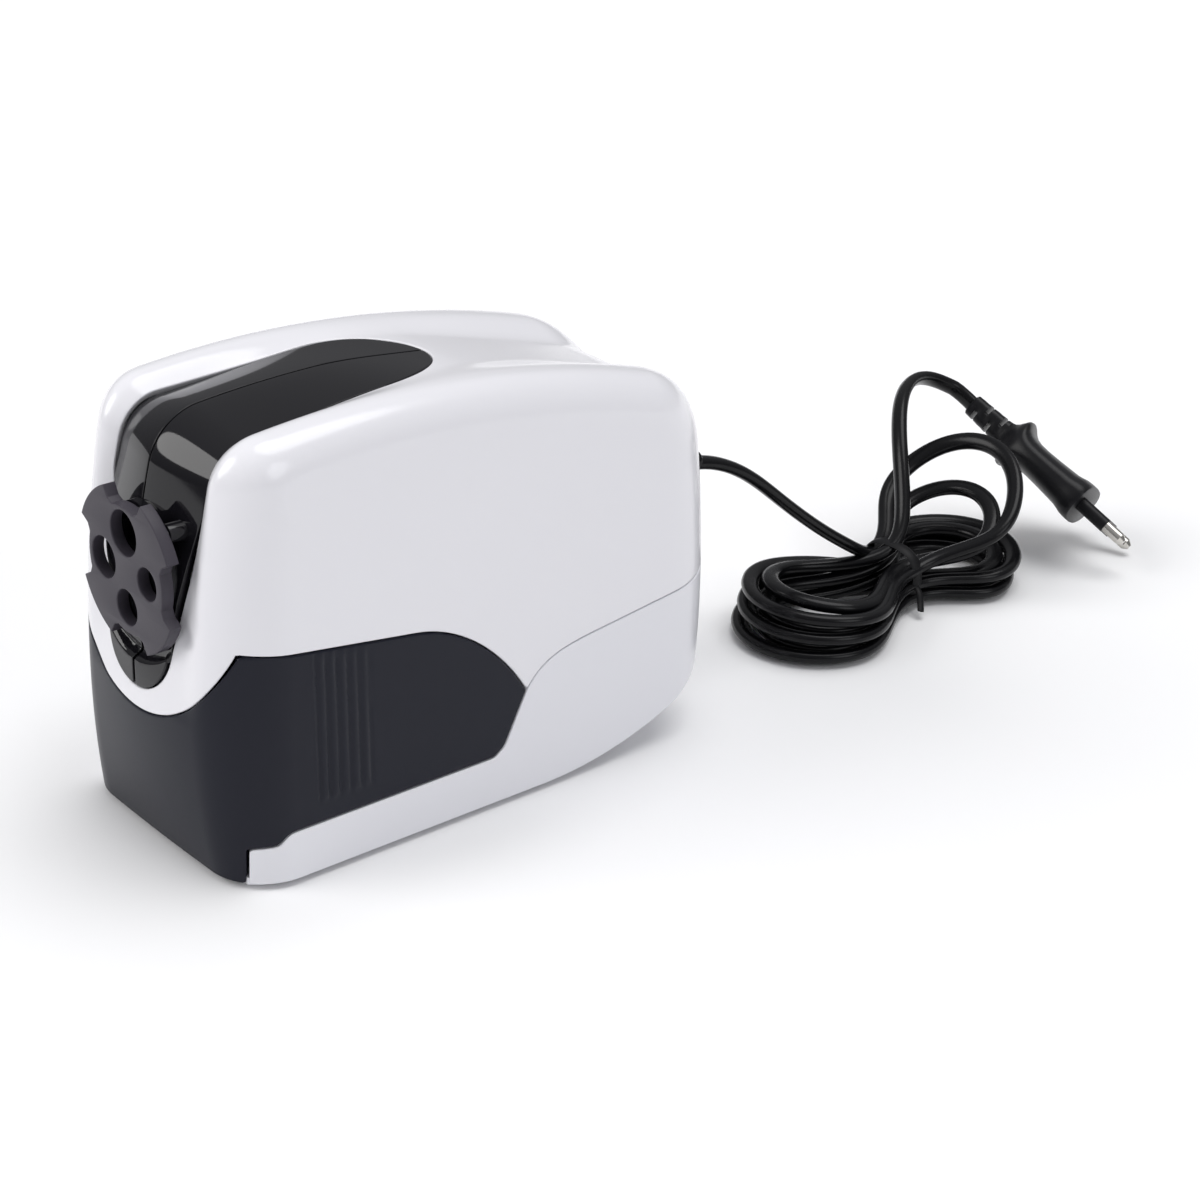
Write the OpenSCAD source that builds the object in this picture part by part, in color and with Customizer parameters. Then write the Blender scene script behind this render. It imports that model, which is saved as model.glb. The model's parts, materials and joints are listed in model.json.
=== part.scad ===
// Desktop electric pencil sharpener with a shavings drawer, a four-hole
// size dial and a mains lead. The dial faces -Y and the lead leaves at +Y.

/* [Housing] */
// Half width of the housing at the table
half_w = 40.5; // [39:0.5:43]
// Sideways lean of the side walls, per mm of height
lean = 0.03; // [0.01:0.005:0.04]
// Foremost point of the front face
front_y = -85.5; // [-87:0.5:-85]
// Rearmost line of the rear face
rear_y = 83.5; // [83:0.5:86]
// Highest line of the shoulders
top_z = 119.8; // [118:0.2:122]
// Wall thickness of the mouldings
wall = 2.4; // [2:0.1:3]
// Height of the rubber feet below the base
foot_h = 1; // [0.6:0.2:2]

/* [Rounding] */
// Radius of the long edges along the roof
r_shoulder = 10.5; // [8:0.5:13]
// Radius of the upright front corners
r_front = 16; // [12:0.5:18]
// Radius of the upright rear corners
r_rear = 20; // [16:0.5:22]
// Depth of the hollow between the shoulders
hollow = 4.8; // [1:0.1:6]

/* [Drawer and dial] */
// Top of the side rails that the drawer slides on
rail_z = 15; // [12:0.5:18]
// Radius of the white bow above the drawer front
bow_r = 35.4; // [30:0.2:38]
// Height of the bow's centre
bow_z = 76; // [75:0.5:77]
// Height of the dial's axis
dial_z = 78.7; // [78:0.1:79]
// Front face of the dial
dial_y = -86.3; // [-87:0.1:-86]
// Radius on which the four pencil holes lie
hole_pitch = 10.1; // [10:0.1:10.3]
// Gap between moving mouldings
gap = 0.35; // [0.3:0.05:0.6]

/* [Gears] */
// Tooth size of the fast stage
fast_m = 0.6; // [0.5:0.1:0.7]
// Tooth size of the slow stage
slow_m = 0.8; // [0.7:0.1:0.9]
// Height of the motor shaft
motor_z = 56; // [54:0.5:58]

/* [Lead] */
// Diameter of the mains lead
lead_d = 4.4; // [3.6:0.1:6]
// Height at which the lead leaves the rear wall
lead_z = 61; // [56:0.5:66]

/* [Hidden] */
$fn = 48;
far = 200;
eps = 0.01;

// ---- helpers ----
function clamp01(v) = max(0, min(1, v));
function ease(v) = let (c = clamp01(v)) c * c * (3 - 2 * c);
function bezier(p0, p1, p2, p3, n) = [for (i = [0:n]) let (t = i / n, s = 1 - t)
    s * s * s * p0 + 3 * s * s * t * p1 + 3 * s * t * t * p2 + t * t * t * p3];
// Points and outward normals [y, z, ny, nz] along an arc, without its last point
function arc(c, r, a0, a1, n) = [for (i = [0:n - 1]) let (a = a0 + (a1 - a0) * i / n)
    [c[0] + r * cos(a), c[1] + r * sin(a), cos(a), sin(a)]];
// Centre of a circle of radius r that touches two large circles from inside
function nested(c1, r1, c2, r2, r, side) = let (
    a = r1 - r, b = r2 - r, v = c2 - c1, d = norm(v),
    along = (a * a - b * b + d * d) / (2 * d), across = side * sqrt(a * a - along * along),
    u = v / d) c1 + along * u + across * [-u[1], u[0]];
function heading(a, b) = let (t = atan2(b[1] - a[1], b[0] - a[0])) t < -90 ? t + 360 : t;

// ---- side profile of the housing: five tangent arcs over the top ----
front_r = 220;
roof_r = 327;
back_r = 300;
brow_r = 17;
nape_r = 30;
heel_r = 26;
front_c = [front_y + front_r, 49.6];
roof_c = [-30, top_z - roof_r];
back_c = [rear_y - back_r, 45];
brow_c = nested(front_c, front_r, roof_c, roof_r, brow_r, -1);
nape_c = nested(back_c, back_r, roof_c, roof_r, nape_r, 1);
heel_z = heel_r - 4;
heel_c = [back_c[0] + sqrt(pow(back_r - heel_r, 2) - pow(heel_z - back_c[1], 2)), heel_z];
a_foot = 180 + asin((front_c[1] - foot_h) / front_r);
a_brow = heading(front_c, brow_c);
a_roof = heading(roof_c, brow_c);
a_nape = heading(roof_c, nape_c);
a_back = heading(back_c, nape_c);
a_heel = heading(back_c, heel_c);
a_toe = -asin((heel_z - foot_h) / heel_r);
profile = concat(
    arc(front_c, front_r, a_foot, a_brow, 8), arc(brow_c, brow_r, a_brow, a_roof, 6),
    arc(roof_c, roof_r, a_roof, a_nape, 10), arc(nape_c, nape_r, a_nape, a_back, 6),
    arc(back_c, back_r, a_back, a_heel, 4), arc(heel_c, heel_r, a_heel, a_toe, 5),
    [[heel_c[0] + heel_r * cos(a_toe), foot_h, cos(a_toe), sin(a_toe)]]);

// ---- how the profile rounds off towards the sides ----
shoulder_steps = 5;
inner_lines = [0, 9, 18, 23.5];
half_lines = concat([for (x = inner_lines) x / half_w],
    [for (i = [0:shoulder_steps]) let (flat = 1 - 13 / half_w)
        flat + (1 - flat) * sin(90 * i / shoulder_steps)]);
lines = concat([for (i = [len(half_lines) - 1:-1:1]) -half_lines[i]], half_lines);
function corner_r(p) = let (edge = p[2] < 0 ? r_front : r_rear)
    r_shoulder + (edge - r_shoulder) * p[2] * p[2];
function bulge(p) = p[2] < 0 ? 0.7 + 5.2 * sin(180 * clamp01(p[1] / 119)) : 2;
function fall(x, w, r) = x <= w - r ? 0 : r - sqrt(max(0, r * r - pow(x - w + r, 2)));
// Depth of the hollow along the profile, and how it fades towards the shoulders
function hollow_depth(p) = let (rise = clamp01((p[1] - 44) / 72))
    (p[2] < 0 || p[0] < -40 ? hollow * (1 - pow(1 - rise, 2)) : hollow)
        * (1 - ease((p[0] + 60) / 70))
    + (hollow - 0.4) * ease((p[0] + 25) / 90) * max(0, p[3]);
function hollow_at(p, x) = hollow_depth(p) * (p[0] < 5 ? ease((29 - x) / 11)
    : ease((27 - x) / 17));
// A point of the skin: profile point p, sideways place u from -1 to 1, depth t
function skin_point(p, u, t, base) = let (
    w = half_w - t, r = max(1, corner_r(p) - t),
    d = t + fall(abs(u) * w, w, r) + bulge(p) * u * u * abs(p[2]),
    flat_n = [p[2], max(p[3], 0)], m = flat_n / norm(flat_n),
    z0 = max(base, p[1] - d * m[1]), x = u * (w - lean * z0),
    h = hollow_at(p, abs(x)))
    [x, p[0] - d * m[0] - h * p[2], max(base, z0 - h * max(p[3], 0))];

// Closed solid inside the skin, t mm below its surface, cut flat at height base
module skin(t, base) {
    n = len(profile);
    k = len(lines);
    pts = [for (u = lines) for (p = profile) skin_point(p, u, t, base)];
    sides = [for (i = [0:k - 2]) for (j = [0:n - 1]) let (
        a = i * n + j, b = i * n + (j + 1) % n, c = b + n, d = a + n)
        each [[a, b, c], [a, c, d]]];
    ends = [[for (j = [n - 1:-1:0]) j], [for (j = [0:n - 1]) (k - 1) * n + j]];
    polyhedron(pts, concat(sides, ends));
}

// ---- outlines seen from the side, as [y, z] ----
tip = [9.8, 31.6];
function drawer_top(g) = concat([[-far, 58.6 + 0.14 * (far - 26) - g]],
    bezier([-26, 58.6 - g], [-12, 56.8 - g], [1.5 - g, 46 - g], tip + [-g, 0], 10));
parting = bezier(tip, [15, 38], [19, 40.2], [35, 42], 6);
parting_end = [far, 42 + 0.123 * (far - 35)];
module from_side(points) {
    rotate([90, 0, 90])
        linear_extrude(2 * far, center = true)
            polygon(points);
}
module bow(r, back = -60) {
    translate([0, back, bow_z])
        rotate([90, 0, 0])
            cylinder(h = far + back, r = r, $fn = 96);
}
module upper_zone() {
    from_side(concat(drawer_top(0), parting, [parting_end, [far, far], [-far, far]]));
    bow(bow_r);
}
rail_front = -76;
module lower_zone() {
    from_side(concat([[rail_front, -far], [far, -far], [far, parting_end[1] - 0.2]],
        [for (i = [len(parting) - 1:-1:0]) parting[i] - [0, 0.2]],
        [[2, 17], [-1, rail_z], [-66, rail_z], [-69, 12.4], [rail_front, 11.8]]));
}
module drawer_zone() {
    difference() {
        from_side(concat(drawer_top(gap), [[2 - gap, 17 + gap], [-1 - gap, rail_z + gap],
            [-66, rail_z + gap], [-69, 12.4 + gap], [rail_front - gap, 11.8 + gap],
            [rail_front - gap, foot_h], [-far, foot_h]]));
        bow(bow_r + gap);
    }
}
// Underside that rises behind the middle of the base
rise_r = 115;
module heel_relief(t = 0) {
    difference() {
        translate([-far / 2, rail_z, -far])
            cube([far, far, far + 40]);
        translate([0, rail_z, rise_r + foot_h])
            rotate([0, 90, 0])
                cylinder(h = 2 * far, r = rise_r - t, center = true, $fn = 180);
    }
}
// Window for the black insert: a U on the front, a leaf on the roof
window_w = 20.2;
function u_outline(g) = concat(
    [for (a = [-165:15:-15]) [(13.9 - g) * cos(a), 60.6 + (13.9 - g) * sin(a)]],
    [[window_w - g, 96], [window_w - g, far], [-window_w + g, far], [-window_w + g, 96]]);
function leaf_outline(g) = concat([[-window_w + g, -82]],
    [for (a = [180:-12:0]) [(17.8 - g) * cos(a), -22 + (27 - g) * sin(a)]],
    [[window_w - g, -82]]);
module window(g) {
    translate([0, -64, 0])
        rotate([90, 0, 0])
            linear_extrude(far)
                polygon(u_outline(g));
    translate([0, 0, 88])
        linear_extrude(far)
            polygon(leaf_outline(g));
}

// ---- screw columns ----
screw_spots = [[-29, 15], [29, 15], [-28, 58], [28, 58]];
column_z = 36;
// Rear face of the collar around the lead's hole
boss_y = 86.2;
column_tops = [112.5, 112.5, 102.5, 102.5];
module upper_housing() color("white")
    difference() {
        union() {
            on_axis(0, lead_z, 78, boss_y, 7.2);
            difference() {
                intersection() {
                    skin(0, foot_h);
                    upper_zone();
                }
                skin(wall, foot_h);
            }
            for (i = [0:3]) let (spot = screw_spots[i]) {
                translate([spot[0], spot[1], column_z])
                    cylinder(h = column_tops[i] - column_z, r = 4);
                translate([spot[0] > 0 ? spot[0] : -36, spot[1] - 1, 60])
                    cube([36 - abs(spot[0]), 2, 36]);
            }
        }
        window(0);
        for (spot = screw_spots)
            translate([spot[0], spot[1], 0])
                cylinder(h = 60, r = 1.6);
        on_axis(0, lead_z, 70, 90, 4.6);
    }

module lower_housing() color("white")
    difference() {
        union() {
            difference() {
                intersection() {
                    skin(0, foot_h);
                    lower_zone();
                }
                difference() {
                    skin(wall, foot_h + wall);
                    heel_relief(wall);
                }
            }
            for (spot = screw_spots)
                translate([spot[0], spot[1], foot_h + 1])
                    cylinder(h = column_z - foot_h - 1, r = 4);
            for (y = [plate_y - 2.2, plate_y + 2])
                translate([-25, y, foot_h + 1])
                    cube([50, 2.2, 10]);
        }
        heel_relief();
        for (spot = screw_spots)
            translate([spot[0], spot[1], -1])
                cylinder(h = far, r = 1.8);
        for (spot = screw_spots)
            translate([spot[0], spot[1], -1])
                cylinder(h = 14, r = 3.4);
    }

// ---- black insert with the seat for the dial ----
seat_y = -82.4;
boss_back = -77.2;
guide_front = -75.4;
ridge_stations = [for (p = profile) if (p[2] < 0 && p[0] < 60 || p[3] > 0.9 && p[0] < 40) p];
function insert_point(p, x, t) = let (
    w = p[1] < 75 ? 20 - 6 * clamp01((75 - p[1]) / 25) : 20 - 3 * clamp01((p[0] + 60) / 60),
    drop = 0.2 + 1.2 * ease((p[0] + 30) / 35),
    edge = max(drop, hollow_depth(p) + 0.3),
    d = t + drop + (edge - drop) * pow(min(1.15, abs(x) / w), 1.4))
    [x, p[0] - d * p[2], p[1] - d * p[3]];
module insert_skin(t) {
    xs = [-23, -18, -13, -8, -3.5, 0, 3.5, 8, 13, 18, 23];
    n = len(ridge_stations);
    k = len(xs);
    pts = concat([for (x = xs) for (p = ridge_stations) insert_point(p, x, 0)],
        [for (x = xs) for (p = ridge_stations) insert_point(p, x, t)]);
    b = n * k;
    grid = [for (i = [0:k - 2]) for (j = [0:n - 2]) let (a = i * n + j)
        each [[a, a + 1, a + n + 1], [a, a + n + 1, a + n],
            [b + a, b + a + n + 1, b + a + 1], [b + a, b + a + n, b + a + n + 1]]];
    long_edges = [for (j = [0:n - 2]) each let (a = j, c = (k - 1) * n + j)
        [[a, b + a, b + a + 1], [a, b + a + 1, a + 1],
            [c, c + 1, b + c + 1], [c, b + c + 1, b + c]]];
    short_edges = [for (i = [0:k - 2]) each let (a = i * n, c = i * n + n - 1)
        [[a, a + n, b + a + n], [a, b + a + n, b + a],
            [c, b + c, b + c + n], [c, b + c + n, c + n]]];
    polyhedron(pts, concat(grid, long_edges, short_edges));
}
ball_r = 1.5;
ball_place = 19.5 / sqrt(2);
module front_insert() color("#141416")
    difference() {
        union() {
            intersection() {
                insert_skin(2.2);
                window(0.2);
            }
            along_y(seat_y, boss_back, 15.5);
            translate([ball_place, 0, ball_place])
                along_y(seat_y, guide_front - 0.1, 2.6);
        }
        along_y(-far, seat_y, 23.4);
        along_y(-far, 0, 3.05);
        translate([0, 0, hole_pitch])
            along_y(-far, -40, 6.3);
        translate([ball_place, 0, ball_place])
            along_y(-far, guide_front - 1.1, ball_r + 0.1);
    }
// Cylinder on the dial's axis, from y0 to y1
module along_y(y0, y1, r) {
    translate([0, y1, dial_z])
        rotate([90, 0, 0])
            cylinder(h = y1 - y0, r = r);
}

// ---- size dial ----
dial_r = 17.3;
tab_r = 22;
tab_back = -82.8;
hub_r = 3;
ball_y = tab_back + 0.9;
hole_sizes = [12, 11, 9.5, 8.7];
module selector_dial() color("#4a4850")
    difference() {
        union() {
            along_y(dial_y, tab_back, dial_r);
            along_y(tab_back, seat_y - 0.1, 14);
            along_y(tab_back, guide_front - 0.5, hub_r);
            intersection() {
                along_y(dial_y, tab_back, tab_r);
                for (a = [45:90:315])
                    translate([0, 0, dial_z])
                        rotate([0, a, 0])
                            translate([0, dial_y, 0])
                                rotate([-90, 0, 0])
                                    linear_extrude(tab_back - dial_y)
                                        polygon([[8, -3.5], [tab_r, -8.4], [far, 0],
                                            [tab_r, 8.4], [8, 3.5]]);
            }
        }
        for (i = [0:3])
            rotate_about_dial(-90 * i)
                translate([0, 0, hole_pitch])
                    along_y(-far, tab_back + 2, hole_sizes[i] / 2);
        for (a = [45:90:315])
            rotate_about_dial(a)
                translate([0, ball_y, dial_z + 19.5])
                    sphere(r = ball_r + 0.25);
    }
module rotate_about_dial(a) {
    translate([0, 0, dial_z])
        rotate([0, a, 0])
            translate([0, 0, -dial_z])
                children();
}
module dial_clip() color("silver")
    difference() {
        along_y(boss_back + 0.1, boss_back + 1, 4.1);
        along_y(boss_back, boss_back + 2, hub_r);
    }
module detent_ball() color("silver")
    translate([ball_place, ball_y, dial_z + ball_place])
        sphere(r = ball_r);
module detent_spring() color("silver")
    translate([ball_place, 0, ball_place])
        difference() {
            along_y(ball_y + ball_r + 0.45, guide_front - 1.1, 1.2);
            along_y(-far, 0, 0.8);
        }

// ---- drawer ----
box_w = 33;
box_back = -30;
plate_y = -9;
box_floor = 17;
module shavings_drawer() color("#20222e") {
    difference() {
        union() {
            difference() {
                intersection() {
                    skin(0, foot_h);
                    drawer_zone();
                }
                skin(2.2, -1);
            }
            difference() {
                intersection() {
                    union() {
                        translate([-box_w, -86, box_floor - 1.6])
                            cube([2 * box_w, box_back + 86, 35.6]);
                        translate([-39, -60, 30])
                            cube([78, 3, 12]);
                        translate([-39, -34, 30])
                            cube([78, 3, 12]);
                    }
                    skin(1, foot_h);
                }
                bow(bow_r + gap, 0);
                translate([-box_w + 1.8, -76, box_floor])
                    cube([2 * box_w - 3.6, box_back + 76 - 1.8, far]);
            }
        }
    }
}

// ---- feet and screws ----
foot_spots = [[-27, -66], [27, -66], [-24, 26], [24, 26]];
module rubber_feet() color("#303030")
    for (spot = foot_spots)
        if (spot[1] < rail_z)
            translate([spot[0], spot[1], 0])
                cylinder(h = foot_h, r = 5);
        else
            difference() {
                translate([spot[0], spot[1], 0])
                    cylinder(h = 4, r = 5);
                translate([0, rail_z, rise_r + foot_h])
                    rotate([0, 90, 0])
                        cylinder(h = 2 * far, r = rise_r, center = true, $fn = 180);
            }
module housing_screws() color("silver")
    for (spot = screw_spots)
        translate([spot[0], spot[1], 13]) {
            mirror([0, 0, 1])
                cylinder(h = 2.2, r = 3.1);
            cylinder(h = 35, r = 1.5);
        }

// ---- cutting head; everything on the cutter axis ----
cut_z = dial_z + hole_pitch;
module on_axis(x, z, y0, y1, r) {
    translate([x, y1, z])
        rotate([90, 0, 0])
            cylinder(h = y1 - y0, r = r);
}
// Gear outline with thin teeth: module m, tooth count, height beyond and below
function gear_outline(m, teeth, tall, deep, turn = 0) = let (p = m * teeth / 2, s = 360 / teeth)
    [for (i = [0:teeth - 1]) each let (a = i * s + turn) [
        (p - deep) * [cos(a - s * 0.3), sin(a - s * 0.3)],
        (p + tall) * [cos(a - s * 0.11), sin(a - s * 0.11)],
        (p + tall) * [cos(a + s * 0.11), sin(a + s * 0.11)],
        (p - deep) * [cos(a + s * 0.3), sin(a + s * 0.3)]]];
// Extrusion of an XZ outline from y0 to y1 about the axis (x, z)
module along(x, z, y0, y1) {
    translate([x, y1, z])
        rotate([90, 0, 0])
            linear_extrude(y1 - y0)
                children();
}
frame_y = -70;
ring_teeth = 42;
pinion_teeth = 12;
orbit = slow_m * (ring_teeth - pinion_teeth) / 2;
tilt = 9.5;
orbit_y = -64.5;
spacer_spots = [[-24, 64], [24, 64], [-22, 100], [22, 100]];
rear_spots = [[-24, 64], [28, 48], [-22, 100], [22, 100]];
module front_frame() color("#c8c8c8")
    difference() {
        along(0, 0, frame_y, frame_y + 3)
            polygon([[-29, 58], [29, 58], [29, 94], [24, 104], [-24, 104], [-29, 94]]);
        on_axis(0, cut_z, frame_y - 1, frame_y + 4, 8);
        on_axis(pivot[0], pivot[1], frame_y - 1, frame_y + 4, 1.5);
        for (s = spacer_spots)
            on_axis(s[0], s[1], frame_y - 1, frame_y + 4, 1.5);
    }
module pencil_guide() color("#303034")
    difference() {
        union() {
            on_axis(0, cut_z, guide_front, frame_y + 3, 8);
            on_axis(0, cut_z, -71.4, frame_y, 9.6);
        }
        on_axis(0, cut_z, -80, -60, 6.3);
        translate([0, -74.4, cut_z - 1.7])
            cube([12, 3, 3.4]);
    }
module ring_gear() color("#b0b0b4")
    difference() {
        on_axis(0, cut_z, frame_y + 3, -62.4, 20.6);
        along(0, cut_z, frame_y + 2, -62)
            rotate(90)
                polygon(gear_outline(slow_m, ring_teeth, 1.1, -0.2));
    }
pivot = [13, cut_z - 13.9];
module start_lever() color("#e8e8e8")
    difference() {
        along(0, 0, -73.8, -71.8)
            polygon([[pivot[0] - 2.6, pivot[1] - 2.6], [pivot[0] + 2.6, pivot[1] - 2.6],
                [pivot[0] + 2.6, pivot[1] + 4], [pivot[0] + 0.4, cut_z + 1.2],
                [8.6, cut_z + 1.2], [5.2, cut_z + 0.6], [5.2, cut_z - 0.6],
                [8.6, cut_z - 1.2], [10, cut_z - 1.2], [pivot[0] - 2.6, pivot[1] + 4]]);
        on_axis(pivot[0], pivot[1], -76, -70, 1.56);
    }
module lever_pin() color("silver") {
    on_axis(pivot[0], pivot[1], -74.6, frame_y + 3, 1.5);
    on_axis(pivot[0], pivot[1], -75.1, -74.6, 2.4);
    on_axis(pivot[0], pivot[1], -71.6, frame_y, 2.4);
}
module start_switch() color("#26262a") {
    translate([17.6, -74, cut_z - 14])
        cube([9, 4, 11]);
    translate([16, -73.6, cut_z - 9.4])
        cube([1.7, 2, 1.6]);
    for (z = [cut_z - 13, cut_z - 7])
        translate([26.6, -73.4, z])
            cube([2.6, 1.4, 2]);
}
// Places its children on the tilted cutter axis, local z along the cutter
module on_cutter() {
    translate([0, orbit_y, cut_z + orbit])
        rotate([-tilt, 0, 0])
            rotate([-90, 0, 0])
                children();
}
cutter_r = 6.3;
module cutter_carrier() color("#9a9aa0")
    difference() {
        union() {
            on_axis(0, cut_z, -61.6, -58.6, 17.4);
            on_axis(0, cut_z, -34, -30.4, 15);
            on_axis(0, cut_z, -30.4, -17, 5);
            difference() {
                on_axis(0, cut_z, -59, -33, 15.6);
                on_axis(0, cut_z, -60, -34, 11.4);
                translate([-20, -60, cut_z - 3])
                    cube([40, 27, 40]);
            }
        }
        on_axis(0, cut_z, -70, -57, 6.4);
        on_cutter()
            translate([0, 0, -3])
                cylinder(h = 40, r = 1.5);
        on_cutter()
            translate([0, 0, 4.6])
                cylinder(h = 26, r = cutter_r + 0.6);
        on_cutter()
            translate([0, 0, -4])
                cylinder(h = 9, r = 3.4);
    }
module helical_cutter() color("#70747c")
    on_cutter()
        translate([0, 0, 5.2])
            difference() {
                linear_extrude(24, twist = -120, slices = 10)
                    polygon([for (i = [0:9]) each [
                        (cutter_r) * [cos(36 * i), sin(36 * i)],
                        (cutter_r - 1.1) * [cos(36 * i + 8), sin(36 * i + 8)]]]);
                translate([0, 0, -1])
                    cylinder(h = 40, r = 1.56);
            }
module cutter_pinion() color("#8a7a50")
    on_cutter()
        difference() {
            union() {
                translate([0, 0, -0.6])
                    linear_extrude(2.4)
                        rotate(-90)
                            polygon(gear_outline(slow_m, pinion_teeth, 0.45, 0.9));
                translate([0, 0, 1.8])
                    cylinder(h = 3.4, r = 3);
            }
            translate([0, 0, -5])
                cylinder(h = 20, r = 1.56);
        }
module cutter_pin() color("silver")
    on_cutter() {
        translate([0, 0, -0.8])
            cylinder(h = 34.8, r = 1.5);
        translate([0, 0, -1.3])
            cylinder(h = 0.6, r = 2.2);
    }
module main_gear() color("#d8d4c4")
    difference() {
        union() {
            along(0, cut_z, -23, -18)
                polygon(gear_outline(slow_m, 44, 0.6, 0.9, 0));
        }
        on_axis(0, cut_z, -30, -10, 5);
    }

// ---- gear train and motor ----
plate_z1 = 108;
fast_d = fast_m * (10 + 50) / 2;
slow_d = slow_m * (44 + 12) / 2;
idle = let (d = cut_z - motor_z, a = (fast_d * fast_d - slow_d * slow_d + d * d) / (2 * d))
    [sqrt(fast_d * fast_d - a * a), motor_z + a];
to_main = atan2(cut_z - idle[1], -idle[0]);
to_motor = atan2(motor_z - idle[1], -idle[0]);
module gear_plate() color("#c8c8c8")
    difference() {
        along(0, 0, -28, -25.5)
            polygon([[-29, 54], [18, 54], [22, 44], [32, 44], [32, 70], [29, 96],
                [25, plate_z1], [-25, plate_z1], [-29, 96]]);
        on_axis(0, cut_z, -30, -20, 7);
        on_axis(idle[0], idle[1], -30, -20, 1.5);
        for (s = concat(rear_spots, [spacer_spots[1]]))
            on_axis(s[0], s[1], -30, -20, 1.5);
    }
module carrier_bush() color("#b08d57")
    difference() {
        union() {
            on_axis(0, cut_z, -28.8, -24.6, 7);
            on_axis(0, cut_z, -25.5, -24.2, 8.6);
        }
        on_axis(0, cut_z, -30, -20, 5.06);
    }
module compound_gear() color("#e4e0d0")
    difference() {
        union() {
            along(idle[0], idle[1], -16.8, -12.6)
                polygon(gear_outline(fast_m, 50, 0.4, 0.7, to_motor + 180 / 50));
            along(idle[0], idle[1], -23.6, -16.8)
                polygon(gear_outline(slow_m, 12, 0.6, 0.9,
                    to_main + 180 / 12 + mate_turn));
            on_axis(idle[0], idle[1], -12.6, -11, 3.4);
        }
        on_axis(idle[0], idle[1], -30, -5, 1.56);
    }
// Turns the small gear until its gap meets the tooth of the main gear
main_place = to_main + 180;
mate_turn = let (s = 360 / 44, off = main_place - s * round(main_place / s)) off * 44 / 12;
module compound_shaft() color("silver")
    on_axis(idle[0], idle[1], -28, plate_y + 2, 1.5);
module motor_plate() color("#c8c8c8")
    difference() {
        union() {
            along(0, 0, plate_y, plate_y + 2)
                polygon([[-25, 3.4], [25, 3.4], [25, 12], [32, 16], [32, 70], [29, 96],
                    [25, plate_z1], [-25, plate_z1], [-29, 96], [-32, 70], [-32, 16], [-25, 12]]);
            for (b = bolt_spots)
                on_axis(b[0], b[1], plate_y + 1, 0, 3.6);
        }
        on_axis(0, motor_z, -20, 5, 6);
        on_axis(idle[0], idle[1], -20, 0, 1.5);
        for (s = rear_spots)
            on_axis(s[0], s[1], -20, 5, 1.5);
        for (b = bolt_spots)
            on_axis(b[0], b[1], -20, 5, 1.5);
        translate([-20, plate_y - 1, 26])
            cube([10, 4, 3]);
    }
module plate_spacers() color("silver") {
    for (s = spacer_spots) {
        on_axis(s[0], s[1], frame_y, -28, 1.5);
        on_axis(s[0], s[1], frame_y + 3, -28, 2.5);
    }
    for (s = rear_spots) {
        on_axis(s[0], s[1], -28, plate_y + 2, 1.5);
        on_axis(s[0], s[1], -25.5, plate_y, 2.5);
    }
}
bolt_spots = [[-19.5, 43], [19.5, 43], [-19.5, 67], [19.5, 67]];
stack_y0 = 8;
stack_y1 = 33;
module motor_pinion() color("#b08d57")
    difference() {
        along(0, motor_z, -17.2, -11.8)
            polygon(gear_outline(fast_m, 10, 0.4, 0.7, to_motor + 180));
        on_axis(0, motor_z, -20, 0, 1.6);
    }
module motor_shaft() color("silver")
    on_axis(0, motor_z, -17.6, 56, 1.6);
module rotor_core() color("#85888e")
    difference() {
        on_axis(0, motor_z, stack_y0 + 1, stack_y1 - 1, 10.9);
        on_axis(0, motor_z, 0, 50, 1.6);
    }
module cooling_fan() color("#e8e8e8")
    difference() {
        union() {
            on_axis(0, motor_z, 46, 54, 5);
            on_axis(0, motor_z, 53, 54.4, 18);
            for (a = [0:45:315])
                translate([0, 47, motor_z])
                    rotate([0, a, 0])
                        translate([4, 0, -0.6])
                            cube([14, 6.5, 1.2]);
        }
        on_axis(0, motor_z, 40, 60, 1.6);
    }
module stator_core() color("#6a6e74")
    difference() {
        along(0, 0, stack_y0, stack_y1)
            polygon([[-24, 38], [24, 38], [24, 89], [-24, 89]]);
        on_axis(0, motor_z, 0, 40, 11.3);
        translate([-15.2, 0, 71])
            cube([30.4, 50, 8]);
        for (b = bolt_spots)
            on_axis(b[0], b[1], 0, 50, 1.5);
    }
module field_coil() color("#a05a2c")
    difference() {
        translate([-13.6, 1, 71.6])
            cube([27.2, 39, 24.8]);
        translate([-20, stack_y0, 79])
            cube([40, stack_y1 - stack_y0, 10]);
    }
module bracket(y0, y1, b0, b1) {
    difference() {
        union() {
            along(0, 0, y0, y1)
                polygon([[-23, 39], [23, 39], [23, 70.6], [-23, 70.6]]);
            on_axis(0, motor_z, min(y0, b0), max(y1, b1), 4.6);
            for (b = bolt_spots)
                on_axis(b[0], b[1], b0, b1, 3.4);
        }
        on_axis(0, motor_z, -20, 60, 1.66);
        on_axis(0, motor_z, stack_y0 - 0.8, stack_y1 + 0.8, 12);
        for (b = bolt_spots)
            on_axis(b[0], b[1], -20, 60, 1.5);
    }
}
module front_bracket() color("#a8aab0")
    bracket(0, 2, 0, stack_y0);
module rear_bracket() color("#a8aab0")
    bracket(39, 41, stack_y1, 41);
module motor_bolts() color("silver")
    for (b = bolt_spots) {
        on_axis(b[0], b[1], plate_y, 41, 1.5);
        on_axis(b[0], b[1], 41, 43.2, 2.8);
    }
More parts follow.
